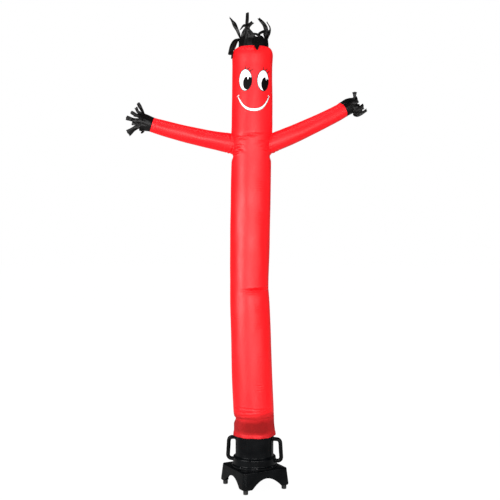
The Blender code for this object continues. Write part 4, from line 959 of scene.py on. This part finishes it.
# -------------------------------------------------------------- fringes
def fringe(name, plan, seam, axis, node, seed, crumple, fine=6):
    """The CAD's comb in fine cloth: a gathered band, and streamers that curl and crease."""
    seam, axis = Vector(seam), Vector(axis)
    chance = np.random.RandomState(seed)
    origin = seam + axis * 0.0003
    up = Vector(plan["up"])
    up = (up - up.dot(axis) * axis).normalized()
    side = axis.cross(up)
    count = plan["columns"]
    total_columns = count * fine
    top = plan["band"][-1][0]

    def ragged(c):
        low, high = math.floor(c), math.floor(c) + 1
        share = c - low

        def at(k):
            k %= count
            return plan["ragged"] * math.sin(2.4 * k + 0.7) * math.cos(1.1 * k)

        return at(low) * (1 - share) + at(high) * share

    steps = 12
    points, faces, maps = [], [], []
    phases = chance.uniform(0, 2 * math.pi, 4)
    for r in range(steps + 1):
        share = r / steps
        for k in range(total_columns):
            c = k / fine
            height = share * (top + ragged(c))
            radius = float(through(plan["band"], [height])[0][0])
            a = 2 * math.pi * c / count
            loose = share ** 0.7
            radius += loose * crumple * (0.45 * math.sin(7 * a + phases[0] + 30 * height)
                                         + 0.40 * math.sin(13 * a + phases[1] - 22 * height)
                                         + 0.25 * math.sin(23 * a + phases[2]))
            # slits: the edges of neighbouring strips part and curl
            slit = abs(c - round(c)) * 2
            radius += loose ** 2 * crumple * 0.5 * (1 - slit) * math.sin(phases[3] + 2.7 * round(c))
            points.append(origin + axis * height + radius * (math.cos(a) * up + math.sin(a) * side))
    for r in range(steps):
        for k in range(total_columns):
            n = (k + 1) % total_columns
            faces.append((r * total_columns + k, r * total_columns + n,
                          (r + 1) * total_columns + n, (r + 1) * total_columns + k))
    edge = steps * total_columns
    area = 2 * math.pi * plan["band"][0][1] * top
    for column, kx, ky, kz, tx, ty, tz, knee_width, tip_width, turn in plan["streamers"]:
        base = [edge + (column * fine + k) % total_columns for k in range(fine + 1)]
        first, second = points[base[0]], points[base[-1]]
        start = (first + second) / 2
        across = second - first
        base_width = across.length
        across.normalize()
        knee, tip = Vector((kx, ky, kz)), Vector((tx, ty, tz))
        leave = (axis * 0.7 + (knee - start).normalized() * 0.5).normalized()
        lower_run, upper_run = (knee - start).length, (tip - knee).length
        past = (tip - start).normalized()
        spans = ((start, knee, leave * lower_run, past * lower_run, base_width, knee_width, 20),
                 (knee, tip, past * upper_run, (tip - knee), knee_width, tip_width, 18))
        total = sum(span[6] for span in spans)
        area += lower_run * (base_width + knee_width) / 2 + upper_run * (knee_width + tip_width) / 2
        wave, kink = chance.uniform(0, 2 * math.pi, 3), chance.uniform(-1, 1, 3)
        curl_by, done, previous, row = chance.choice([-1.0, 1.0]), 0, start, base
        for a, b, ta, tb, wa, wb, count_here in spans:
            for k in range(1, count_here + 1):
                t = k / count_here
                done += 1
                gone = done / total
                centre = ((2 * t**3 - 3 * t**2 + 1) * a + (t**3 - 2 * t**2 + t) * ta
                          + (-2 * t**3 + 3 * t**2) * b + (t**3 - t**2) * tb)
                along = (centre - previous).normalized()
                across = (across - across.dot(along) * along).normalized()
                if b is knee:
                    flat = along.cross(FRONT)
                    if flat.length > 0.2:
                        flat.normalize()
                        if flat.dot(across) < 0:
                            flat = -flat
                        flat = Matrix.Rotation(math.radians(turn), 3, along) @ flat
                        left_over = math.atan2(along.dot(across.cross(flat)), across.dot(flat))
                        across = Matrix.Rotation(left_over / (count_here - k + 1), 3, along) @ across
                flat = along.cross(across)
                half = (wa + (wb - wa) * t) / 2
                grow = min(1.0, gone * 3.0)
                half *= 1.0 + 0.10 * math.sin(9.0 * gone + wave[0]) * grow
                new = []
                for m in range(fine + 1):
                    s = -1.0 + 2.0 * m / fine
                    bend = grow * crumple * (
                        curl_by * (0.9 + 0.6 * math.sin(5.0 * gone + wave[1])) * (1 - s * s)
                        + 0.45 * s * math.sin(11.0 * gone + wave[2])
                        + 0.30 * math.sin(21.0 * gone + 2.2 * s + wave[0]))
                    shift = grow * crumple * (0.35 * kink[0] * math.sin(8.0 * gone + wave[1]))
                    lean = 0.0
                    if done == total:
                        lean = 0.004 * kink[1] * s + 0.0022 * math.sin(4.0 * s + wave[2])
                    new.append(len(points))
                    points.append(centre + across * (half * s + shift) + flat * bend + along * lean)
                for m in range(fine):
                    faces.append((row[m], row[m + 1], new[m + 1], new[m]))
                row, previous = new, centre
    mesh = plain_mesh(name, points, faces)
    layer = mesh.uv_layers.new(name="cloth")
    flat = np.array([tuple(p) for p in points])
    rel = flat - np.array(origin)
    height = rel @ np.array(axis)
    angle = np.arctan2(rel @ np.array(side), rel @ np.array(up))
    uv = np.stack([angle * plan["band"][0][1], height], axis=1)
    loops = np.empty(len(mesh.loops), np.int32)
    mesh.loops.foreach_get("vertex_index", loops)
    layer.data.foreach_set("uv", uv[loops].reshape(-1).astype(np.float32))
    made = place(name, mesh, black, "nylon_black", 180.0)
    thick = made.modifiers.new("Solidify", "SOLIDIFY")
    thick.thickness, thick.offset, thick.use_rim = 0.0011, 0.0, True
    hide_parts(node)
    return made, area


top_row = np.array(BODY_ROWS[-1])
hair, hair_area = fringe("hair_streamers", HAIR, (top_row[1], top_row[2], top_row[0]), (0.0, 0.0, 1.0), "hair_fringe", 11, 0.0042)
hands = {}
for side_name, plan, seed in (("left", HAND_LEFT, 23), ("right", HAND_RIGHT, 31)):
    arm = arms[side_name]
    hands[side_name] = fringe(f"hand_streamers_{side_name}", plan, arm.wrist, arm.wrist_along,
                              f"hand_fringe_{side_name}", seed, 0.0030)
    a = np.arange(120) * 3.0
    wrist = arm.points(np.full(120, arm.length - 0.0012), a, None, 0.0003)
    rope(f"wrist_seam_{side_name}", wrist, 0.0015, black, "nylon_black", sides=8)
    inner = arm.points(np.full(120, arm.length - 0.0070), a, None, 0.0008)
    centre = arm.frame(np.full(120, arm.length - 0.0070))[0]
    s, e, n = run(inner, unit(inner - centre), 0.0042, 0.0020, True)
    threads(f"wrist_stitches_{side_name}", s, e, n, 0.00055, red_thread, "nylon_red")


# ----------------------------------------------------------------- face
def face_slices(name, slices, lift, puff, skin, slot):
    """A sewn patch on the tube from upright slices of (angle, low z, high z)."""
    slices = np.array(slices, float)
    rows = np.linspace(0.0, 1.0, 17)
    ang = np.repeat(slices[:, :1], len(rows), axis=1)
    z = slices[:, 1:2] + (slices[:, 2:3] - slices[:, 1:2]) * rows[None, :]
    share = np.linspace(-1.0, 1.0, len(slices))[:, None]
    bulge = np.clip((1 - (2 * rows[None, :] - 1) ** 2), 0, 1) ** 0.5 * np.clip(1 - share**2, 0, 1) ** 0.5
    top = on_body(ang, z, lift + puff * bulge)
    # a turned-down edge all round
    columns, count = ang.shape
    index = np.arange(columns * count).reshape(columns, count)
    points = list(top.reshape(-1, 3))
    faces = []
    for i in range(columns - 1):
        for j in range(count - 1):
            faces.append((int(index[i, j]), int(index[i + 1, j]), int(index[i + 1, j + 1]), int(index[i, j + 1])))
    ring = [(i, 0) for i in range(columns)] + [(columns - 1, j) for j in range(1, count)]
    ring += [(i, count - 1) for i in range(columns - 2, -1, -1)] + [(0, j) for j in range(count - 2, 0, -1)]
    low = []
    for i, j in ring:
        low.append(len(points))
        points.append(on_body(ang[i, j], z[i, j], -0.0006))
    for k in range(len(ring)):
        n = (k + 1) % len(ring)
        faces.append((int(index[ring[k]]), low[k], low[n], int(index[ring[n]])))
    mesh = outward(plain_mesh(name, points, faces))
    layer = mesh.uv_layers.new(name="cloth")
    flat = np.array([tuple(v.co) for v in mesh.vertices])
    loops = np.empty(len(mesh.loops), np.int32)
    mesh.loops.foreach_get("vertex_index", loops)
    uv = np.stack([np.arctan2(flat[:, 1], flat[:, 0]) * 0.153, flat[:, 2]], axis=1)
    layer.data.foreach_set("uv", uv[loops].reshape(-1).astype(np.float32))
    return place(name, mesh, skin, slot, 50.0)


def edge_stitches(name, outline, lift, size, spacing, skin, slot, radius_of_thread=0.0010):
    """Close overcast stitches across the edge of a patch; outline is a closed line of (angle, z)."""
    outline = np.array(outline, float)
    radius = 0.1535
    flat = np.column_stack([np.radians(outline[:, 0]) * radius, outline[:, 1]])
    closed = np.vstack([flat, flat[:1]])
    gone = np.concatenate([[0.0], np.cumsum(np.linalg.norm(np.diff(closed, axis=0), axis=1))])
    count = int(gone[-1] / spacing)
    s = np.arange(count) * gone[-1] / count

    def at(x):
        x = x % gone[-1]
        return np.column_stack([np.interp(x, gone, closed[:, 0]), np.interp(x, gone, closed[:, 1])])

    here, ahead = at(s), at(s + 0.001)
    tangent = unit(ahead - at(s - 0.001))
    normal = np.column_stack([-tangent[:, 1], tangent[:, 0]])
    slant = tangent * spacing * 0.5
    a, b = here - normal * size / 2 - slant, here + normal * size / 2 + slant

    def back(p, out):
        return on_body(np.degrees(p[:, 0] / radius), p[:, 1], out)

    return threads(name, back(a, lift), back(b, lift), body_normal(np.degrees(here[:, 0] / radius), here[:, 1]),
                   radius_of_thread, skin, slot, 0.8)


def oval(share):
    return math.sqrt(max(0.0, 1.0 - share * share))


face_sheets, face_bits = [], []
for (side_name, eye, eye_z, eye_half, eye_tall, pupil, pupil_z, half_left, half_right, square, pupil_tall,
     notch_angle, notch_depth, notch_half) in EYES:
    slices = []
    for k in range(73):
        share = -math.cos(math.pi * k / 72)
        half = max(0.0006, eye_tall * oval(share))
        slices.append((eye + eye_half * share, eye_z - half, eye_z + half))
    patch = face_slices(f"eye_{side_name}", slices, 0.0012, 0.0016, white, "face_white")
    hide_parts(f"eye_white_{side_name}")
    face_sheets.append((patch, (0.105, 0.160), math.pi * 0.051 * eye_tall))
    outline = [(eye + (eye_half + 0.45) * math.cos(t), eye_z + (eye_tall + 0.0012) * math.sin(t))
               for t in np.linspace(0, 2 * math.pi, 361)[:-1]]
    face_bits.append(edge_stitches(f"eye_edge_{side_name}", outline, 0.0014, 0.0060, 0.0020, dark_thread, "face_black"))

    slices, started = [], False
    for k in range(129):
        share = -math.cos(math.pi * k / 128)
        angle = pupil + share * (half_left if share < 0 else half_right)
        power = 2.0 if share < 0 else square
        half = max(0.0005, pupil_tall * max(0.0, 1.0 - abs(share) ** power) ** (1.0 / power))
        low, high = pupil_z - half, pupil_z + half
        room = eye_tall * oval(min(1.0, abs(angle - eye) / eye_half)) - 0.0015
        notch = abs(apart(angle, notch_angle)) / notch_half
        if notch < 1.0:
            high = min(high, pupil_z + pupil_tall - notch_depth * (1.0 - notch**3))
        high, low = min(high, eye_z + room), max(low, eye_z - room)
        if high - low < 0.0004:
            if started and k > 64:
                break
            low, high = (low + high) / 2 - 0.0002, (low + high) / 2 + 0.0002
        started = True
        slices.append((angle, low, high))
    patch = face_slices(f"pupil_patch_{side_name}", slices, 0.0034, 0.0008, ink, "face_black")
    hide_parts(f"pupil_{side_name}")
    pupil_area = sum((b[0] - a[0]) * (a[2] - a[1] + b[2] - b[1]) / 2 for a, b in zip(slices, slices[1:]))
    face_sheets.append((patch, (math.radians(slices[-1][0] - slices[0][0]) * 0.1535,
                                max(row[2] for row in slices) - min(row[1] for row in slices)),
                        math.radians(pupil_area) * 0.1535))


def stroke(name, rows, lift, thick, skin, slot, parts=5):
    """A raised strip on the tube along rows of (angle, z, width)."""
    rows = np.array(rows, float)
    radius = 0.1535
    flat = np.column_stack([np.radians(rows[:, 0]) * radius, rows[:, 1]])
    tangent = unit(np.gradient(flat, axis=0))
    normal = np.column_stack([-tangent[:, 1], tangent[:, 0]])
    across = np.linspace(-1.0, 1.0, parts)
    rise = np.clip(1 - across**2, 0, 1) ** 0.5
    line = flat[:, None, :] + normal[:, None, :] * (rows[:, 2:3] * across[None, :] / 2)[..., None]
    grid = on_body(np.degrees(line[..., 0] / radius), line[..., 1], lift + thick * rise[None, :])
    first = on_body(np.degrees(line[:, :1, 0] / radius), line[:, :1, 1], -0.0006)
    last = on_body(np.degrees(line[:, -1:, 0] / radius), line[:, -1:, 1], -0.0006)
    grid = np.concatenate([first, grid, last], axis=1)
    gone = float(np.linalg.norm(np.diff(flat, axis=0), axis=1).sum())
    return place(name, outward(sheet_mesh(name, grid, size=(float(rows[:, 2].max()), gone))), skin, slot, 50.0)


smile_rows = []
for k in range(121):
    share = -1.0 + 2.0 * k / 120
    z = SMILE_LOW_Z + SMILE_RISE * abs(share) ** SMILE_POWER
    width = SMILE_THICK_END + (SMILE_THICK_MIDDLE - SMILE_THICK_END) * (1 - share * share)
    end = min(k, 120 - k)
    width *= min(1.0, math.sqrt((end + 0.4) / 4.0))
    smile_rows.append((FACE_ANGLE - 0.9 + SMILE_HALF_ANGLE * share, z, width))
smile = stroke("smile_patch", smile_rows, 0.0012, 0.0012, white, "face_white", 9)
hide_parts("smile")
smile_flat = np.array([(math.radians(a) * 0.1535, z) for a, z, w in smile_rows])
smile_length = float(np.linalg.norm(np.diff(smile_flat, axis=0), axis=1).sum())
face_sheets.append((smile, (0.023, smile_length), smile_length * 0.018))
smile_cut = np.array(smile_rows)
tangent = unit(np.gradient(smile_flat, axis=0))
sides = np.column_stack([-tangent[:, 1], tangent[:, 0]]) * smile_cut[:, 2:3] / 2
outline = np.vstack([smile_flat + sides, (smile_flat - sides)[::-1]])
outline[:, 0] = np.degrees(outline[:, 0] / 0.1535)
face_bits.append(edge_stitches("smile_edge", outline, 0.0014, 0.0044, 0.0021, dark_thread, "face_black", 0.0009))
# the small cross strokes at its ends
for end, (a0, z0, a1, z1) in enumerate(((223.6, 2.9835, 230.6, 2.9960), (320.2, 2.9935, 328.4, 2.9840))):
    rows = [(a0 + (a1 - a0) * t, z0 + (z1 - z0) * t + 0.0018 * math.sin(math.pi * t), 0.0062 * (0.35 + 0.65 * math.sin(math.pi * min(1, max(0, t)) ) ** 0.5))
            for t in np.linspace(0.0, 1.0, 15)]
    face_bits.append(stroke(f"smile_end_{'right' if end else 'left'}", rows, 0.0012, 0.0012, white, "face_white", 7))

for side_name, rows in (("left", LASHES_LEFT), ("right", LASHES_RIGHT)):
    for k, (a0, z0, a1, z1, width) in enumerate(rows):
        line = []
        for t in np.linspace(0.0, 1.0, 17):
            bend = 0.0030 * math.sin(math.pi * t) * (1.0 if k else 0.4)
            line.append((a0 + (a1 - a0) * t, z0 + (z1 - z0) * t + bend, width * (1.0 - 0.75 * t) * min(1.0, (t + 0.08) * 6)))
        face_bits.append(stroke(f"lash_{side_name}_{k + 1}", line, 0.0016, 0.0012, dark_thread, "face_black", 5))

# --------------------------------------------------------- hand lengths, set and not used
for side_name, (hand, area) in hands.items():
    length = 0.24 if side_name == "left" else 0.21


# --------------------------------------------------------------- blower
def square_ring(z, half, corner, fine=14, run_steps=10):
    arcs = []
    for quarter in range(4):
        cx = (half - corner) * (1 if quarter in (0, 3) else -1)
        cy = (half - corner) * (1 if quarter in (0, 1) else -1)
        arcs.append([Vector((cx + corner * math.cos(math.radians(90.0 * quarter + 90.0 * k / fine)),
                             cy + corner * math.sin(math.radians(90.0 * quarter + 90.0 * k / fine)), z))
                     for k in range(fine + 1)])
    ring = []
    for quarter, arc in enumerate(arcs):
        ring += arc
        after = arcs[(quarter + 1) % 4][0]
        ring += [arc[-1].lerp(after, k / run_steps) for k in range(1, run_steps)]
    return ring


def loft(rings, close_ends=False):
    sides = len(rings[0])
    points = [p for ring in rings for p in ring]
    faces = []
    for r in range(len(rings) - 1):
        for s in range(sides):
            t = (s + 1) % sides
            faces.append((r * sides + s, r * sides + t, (r + 1) * sides + t, (r + 1) * sides + s))
    if close_ends:
        faces.append(tuple(reversed(range(sides))))
        last = (len(rings) - 1) * sides
        faces.append(tuple(range(last, last + sides)))
    return points, faces


def tool(name, points, faces):
    """A cutting form, removed again after use."""
    made = bpy.data.objects.new(name, outward(plain_mesh(name, points, faces)))
    bpy.context.scene.collection.objects.link(made)
    return made


TURN = Matrix.Rotation(math.radians(BASE_TURN - 45.0), 3, "Z")
outer = [square_ring(*row) for row in BASE_OUTER]
hole_top = [Vector((p.x, p.y, 0.0)).normalized() * BASE_HOLE_R + Vector((0, 0, BASE_TOP_Z)) for p in outer[-1]]
under = BASE_TOP_Z - BASE_WALL
hole_low = [Vector((p.x, p.y, under)) for p in hole_top]
inner = [square_ring(min(z, under), half - BASE_WALL, corner - BASE_WALL) for z, half, corner in reversed(BASE_OUTER[:7])]
inner.insert(0, square_ring(under, BASE_OUTER[6][1] - BASE_WALL - 0.001, BASE_OUTER[6][2] - BASE_WALL))
points, faces = loft(outer + [hole_top, hole_low] + inner)
sides = len(outer[0])
last = (len(outer) + 2 + len(inner) - 1) * sides
faces += [(last + s, last + (s + 1) % sides, (s + 1) % sides, s) for s in range(sides)]
shell = bpy.data.objects.new("base_form", outward(plain_mesh("base_form", [TURN @ p for p in points], faces)))
bpy.context.scene.collection.objects.link(shell)

used = []
points, faces = [], []
for k in range(4):
    a = math.radians(BASE_TURN + 90.0 * k)
    more, quads = turned(((0.0, BASE_TOP_Z - 0.003), (POST_TOP_R, BASE_TOP_Z - 0.003),
                          (POST_R, BASE_FLOOR_Z + 0.002), (POST_R - 0.002, BASE_FLOOR_Z), (0.0, BASE_FLOOR_Z)), 56)
    shift = np.array((FOOT_RING_R * math.cos(a), FOOT_RING_R * math.sin(a), 0.0))
    start = len(points)
    points += [tuple(np.array(p) + shift) for p in more]
    faces += [tuple(v + start for v in quad) for quad in quads]
used.append((tool("posts", points, faces), "UNION"))
arch = []
for k in range(49):
    x = -ARCH_HALF_WIDTH + 2 * ARCH_HALF_WIDTH * k / 48
    arch.append((x, BASE_FLOOR_Z + (ARCH_TOP_Z - BASE_FLOOR_Z) * (1 - abs(x / ARCH_HALF_WIDTH) ** ARCH_POWER)))
arch = [(-ARCH_HALF_WIDTH, 0.020)] + arch + [(ARCH_HALF_WIDTH, 0.020)]
for name, quarter in (("arch_a", 0.0), ("arch_b", 90.0)):
    spin = TURN @ Matrix.Rotation(math.radians(quarter), 3, "Z")
    near = [spin @ Vector((x, -0.26, z)) for x, z in arch]
    far = [spin @ Vector((x, 0.26, z)) for x, z in arch]
    used.append((tool(name, *loft([near, far], True)), "DIFFERENCE"))
for form, operation in used:
    made = shell.modifiers.new("Boolean", "BOOLEAN")
    made.operation, made.solver, made.object = operation, "EXACT", form
baked(shell)
for form, _ in used:
    bpy.data.objects.remove(form, do_unlink=True)
round_off = shell.modifiers.new("Bevel", "BEVEL")
round_off.width, round_off.segments, round_off.limit_method = 0.0016, 2, "ANGLE"
round_off.angle_limit = math.radians(38.0)
round_off.use_clamp_overlap = True
baked(shell)
base_mesh = shell.data.copy()
bpy.data.objects.remove(shell, do_unlink=True)
base = place("base_shell", base_mesh, plastic, "plastic_black", 34.0)
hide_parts("blower_base")

drum = place("duct_drum", outward(plain_mesh("duct_drum", *turned(DRUM_PROFILE, 160))), plastic, "plastic_black", 34.0)
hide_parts("blower_drum")


def slab(points, faces, out, sideways, z, half_side, half_height, thick, lean=0.0):
    """Adds a small rounded block that stands on a wall: out is where it stands, sideways runs along the wall."""
    start = len(points)
    outward_way = unit(np.array((out[0], out[1], 0.0)))
    up = np.array((0.0, 0.0, 1.0))
    sideways = np.array(sideways)
    for depth, shrink in ((-0.004, 0.0), (thick - 0.0012, 0.0), (thick - 0.0003, 0.0006), (thick, 0.0016)):
        for k in range(24):
            a = 2 * math.pi * k / 24
            x = math.copysign(abs(math.cos(a)) ** 0.35, math.cos(a)) * (half_side - shrink)
            h = math.copysign(abs(math.sin(a)) ** 0.35, math.sin(a)) * (half_height - shrink)
            points.append(np.array(out) + outward_way * depth + sideways * x + up * (z + h))
    for r in range(3):
        for k in range(24):
            n = (k + 1) % 24
            faces.append((start + r * 24 + k, start + r * 24 + n, start + (r + 1) * 24 + n, start + (r + 1) * 24 + k))
    faces.append(tuple(start + 72 + k for k in range(24)))


# grip ends' mounting pads and the flange's screws
pad_points, pad_faces = [], []
for turn in (HANDLE_TURN, HANDLE_TURN + 180.0):
    a = math.radians(turn)
    out, sideways = (math.cos(a), math.sin(a), 0.0), (-math.sin(a), math.cos(a), 0.0)
    slab(pad_points, pad_faces, (out[0] * 0.1462, out[1] * 0.1462, 0.0), sideways, 0.3750, 0.0210, 0.0200, 0.0030)
    slab(pad_points, pad_faces, (out[0] * 0.1648, out[1] * 0.1648, 0.0), sideways, 0.2080, 0.0210, 0.0180, 0.0030)
pads = place("grip_pads", outward(plain_mesh("grip_pads", pad_points, pad_faces)), plastic, "plastic_black", 34.0)

screw_points, screw_faces = [], []
for k in range(8):
    a = math.radians(BASE_TURN + 22.5 + 45.0 * k)
    more, quads = turned(((0.0, 0.0020), (0.0022, 0.0020), (0.0034, 0.0016), (0.0040, 0.0006), (0.0040, -0.0040), (0.0, -0.0040)), 16)
    start = len(screw_points)
    for p in more:
        dip = 0.0008 if abs(p[0]) < 0.0006 and p[2] > 0.001 else 0.0
        screw_points.append((0.1712 * math.cos(a) + p[0], 0.1712 * math.sin(a) + p[1], 0.1793 + p[2] - dip))
    screw_faces += [tuple(v + start for v in quad) for quad in quads]
screws = place("flange_screws", outward(plain_mesh("flange_screws", screw_points, screw_faces)), metal, "motor_metal", 34.0)

for side_name, turn in (("right", HANDLE_TURN), ("left", HANDLE_TURN + 180.0)):
    a = math.radians(turn)
    out, sideways = np.array((math.cos(a), math.sin(a), 0.0)), np.array((-math.sin(a), math.cos(a), 0.0))
    path = np.array(HANDLE_ROWS)
    path[0, 0], path[-1, 0] = 0.1430, 0.1610
    gone = np.concatenate([[0.0], np.cumsum(np.linalg.norm(np.diff(path, axis=0), axis=1))])
    s = np.linspace(0.0, gone[-1], 90)
    fine = through(np.column_stack([gone, path]), s)
    centres = fine[:, :1] * out + np.column_stack([np.zeros(90), np.zeros(90), fine[:, 1]])
    # a grip a little thicker in the middle, with the faint ridges of its mould
    radii = HANDLE_R * (0.975 + 0.025 * np.exp(-((s - gone[-1] / 2) / 0.06) ** 2) + 0.012 * np.sin(s / 0.0052) * (np.abs(s - gone[-1] / 2) < 0.052))
    grip = rope(f"grip_{side_name}", centres, HANDLE_R, grip_plastic, "plastic_black", False, 28, radii)
    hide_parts(f"handle_{side_name}")

for k, side_name in enumerate(("right", "back", "left", "front")):
    a = math.radians(BASE_TURN + 90.0 * k)
    points, faces = turned(FOOT_PROFILE, 48)
    shift = np.array((FOOT_RING_R * math.cos(a), FOOT_RING_R * math.sin(a), 0.0))
    foot = place(f"rubber_foot_{side_name}", outward(plain_mesh(f"rubber_foot_{side_name}", [np.array(p) + shift for p in points], faces)),
                 sole, "rubber_black", 34.0)
    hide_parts(f"foot_{side_name}")

for name, skin, slot in (("fan_motor", metal, "motor_metal"), ("inlet_guard", metal, "motor_metal"), ("cord_gland", sole, "rubber_black")):
    node = nodes[name]
    node.data.materials.clear()
    node.data.materials.append(skin)

# ------------------------------------------------- floor, light, camera
floor_mesh = plain_mesh("studio_floor", [(-30, -30, 0), (30, -30, 0), (30, 30, 0), (-30, 30, 0)], [(0, 1, 2, 3)])
floor = bpy.data.objects.new("studio_floor", floor_mesh)
bpy.context.scene.collection.objects.link(floor)
floor.location.z = -0.0005
paper = Skin("studio_paper")
paper.shader.inputs["Base Color"].default_value = (0.05, 0.05, 0.05, 1.0)
paper.shader.inputs["Roughness"].default_value = 0.9
paper.shader.inputs["Specular IOR Level"].default_value = 0.0
# the camera sees paper that is just white, so that outlines keep their width; the object sees a mid grey floor
glow = paper.node("ShaderNodeEmission", in_Strength=0.975)
lit = paper.node("ShaderNodeAddShader")
paper.link(paper.shader.outputs[0], lit.inputs[0])
paper.link(glow.outputs[0], lit.inputs[1])
grey = paper.node("ShaderNodeBsdfDiffuse", in_Color=(0.30, 0.30, 0.30, 1.0))
pick = paper.node("ShaderNodeMixShader")
paper.link(paper.node("ShaderNodeLightPath").outputs["Is Camera Ray"], pick.inputs[0])
paper.link(grey.outputs[0], pick.inputs[1])
paper.link(lit.outputs[0], pick.inputs[2])
paper.link(pick.outputs[0], paper.tree.nodes["Material Output"].inputs["Surface"])
floor_mesh.materials.append(paper.made)
floor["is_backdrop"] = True

world = bpy.data.worlds.new("studio")
bpy.context.scene.world = world
world.use_nodes = True
tree = world.node_tree
tree.nodes.clear()
path_node = tree.nodes.new("ShaderNodeLightPath")
dim, bright = tree.nodes.new("ShaderNodeBackground"), tree.nodes.new("ShaderNodeBackground")
dim.inputs["Color"].default_value, dim.inputs["Strength"].default_value = (1.0, 1.0, 1.0, 1.0), 0.55
gloss = tree.nodes.new("ShaderNodeBackground")
gloss.inputs["Color"].default_value, gloss.inputs["Strength"].default_value = (1.0, 1.0, 1.0, 1.0), 0.03
part_way = tree.nodes.new("ShaderNodeMixShader")
tree.links.new(path_node.outputs["Is Glossy Ray"], part_way.inputs[0])
tree.links.new(dim.outputs[0], part_way.inputs[1])
tree.links.new(gloss.outputs[0], part_way.inputs[2])
bright.inputs["Color"].default_value, bright.inputs["Strength"].default_value = (1.0, 1.0, 1.0, 1.0), 1.0
choose, output = tree.nodes.new("ShaderNodeMixShader"), tree.nodes.new("ShaderNodeOutputWorld")
tree.links.new(path_node.outputs["Is Camera Ray"], choose.inputs[0])
tree.links.new(part_way.outputs[0], choose.inputs[1])
tree.links.new(bright.outputs[0], choose.inputs[2])
tree.links.new(choose.outputs[0], output.inputs[0])


def soft_light(name, where, at, width, height, power, colour=(1.0, 1.0, 1.0)):
    data = bpy.data.lights.new(name, "AREA")
    data.shape, data.size, data.size_y, data.energy, data.color = "RECTANGLE", width, height, power, colour
    made = bpy.data.objects.new(name, data)
    bpy.context.scene.collection.objects.link(made)
    made.location = where
    made.rotation_euler = (Vector(at) - Vector(where)).to_track_quat("-Z", "Y").to_euler()
    made.visible_camera = False
    return made


soft_light("key", (-4.6, -3.4, 1.80), (0.0, 0.0, 1.90), 3.4, 2.0, 250.0)
soft_light("front", (0.4, -7.9, 1.75), (0.0, 0.0, 1.9), 5.4, 1.2, 310.0)
soft_light("right", (4.2, -4.6, 1.80), (0.0, 0.0, 1.90), 3.0, 1.6, 62.0)
for made in (soft_light("fill", (3.0, -5.6, 3.2), (0.0, 0.0, 1.8), 3.2, 3.2, 120.0),
             soft_light("top", (-0.5, -1.0, 6.6), (0.0, 0.0, 1.6), 3.0, 3.0, 110.0),
             soft_light("back", (1.5, 5.5, 3.0), (0.0, 0.0, 1.8), 3.5, 3.5, 120.0)):
    made.visible_glossy = False

scene = bpy.context.scene
scene.view_settings.view_transform = "Standard"
scene.view_settings.look = "None"
scene.view_settings.exposure = 0.0
scene.view_settings.gamma = 1.0
lens = bpy.data.cameras.new("camera")
lens.lens, lens.sensor_width, lens.sensor_fit = 69.05, 36.0, "AUTO"
lens.clip_start, lens.clip_end = 0.05, 100.0
camera = bpy.data.objects.new("camera", lens)
scene.collection.objects.link(camera)
camera.location = (0.0151, -7.345, 2.13)
camera.rotation_euler = (math.radians(90.0 - 2.350), 0.0, math.radians(0.016))
scene.camera = camera

low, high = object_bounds()
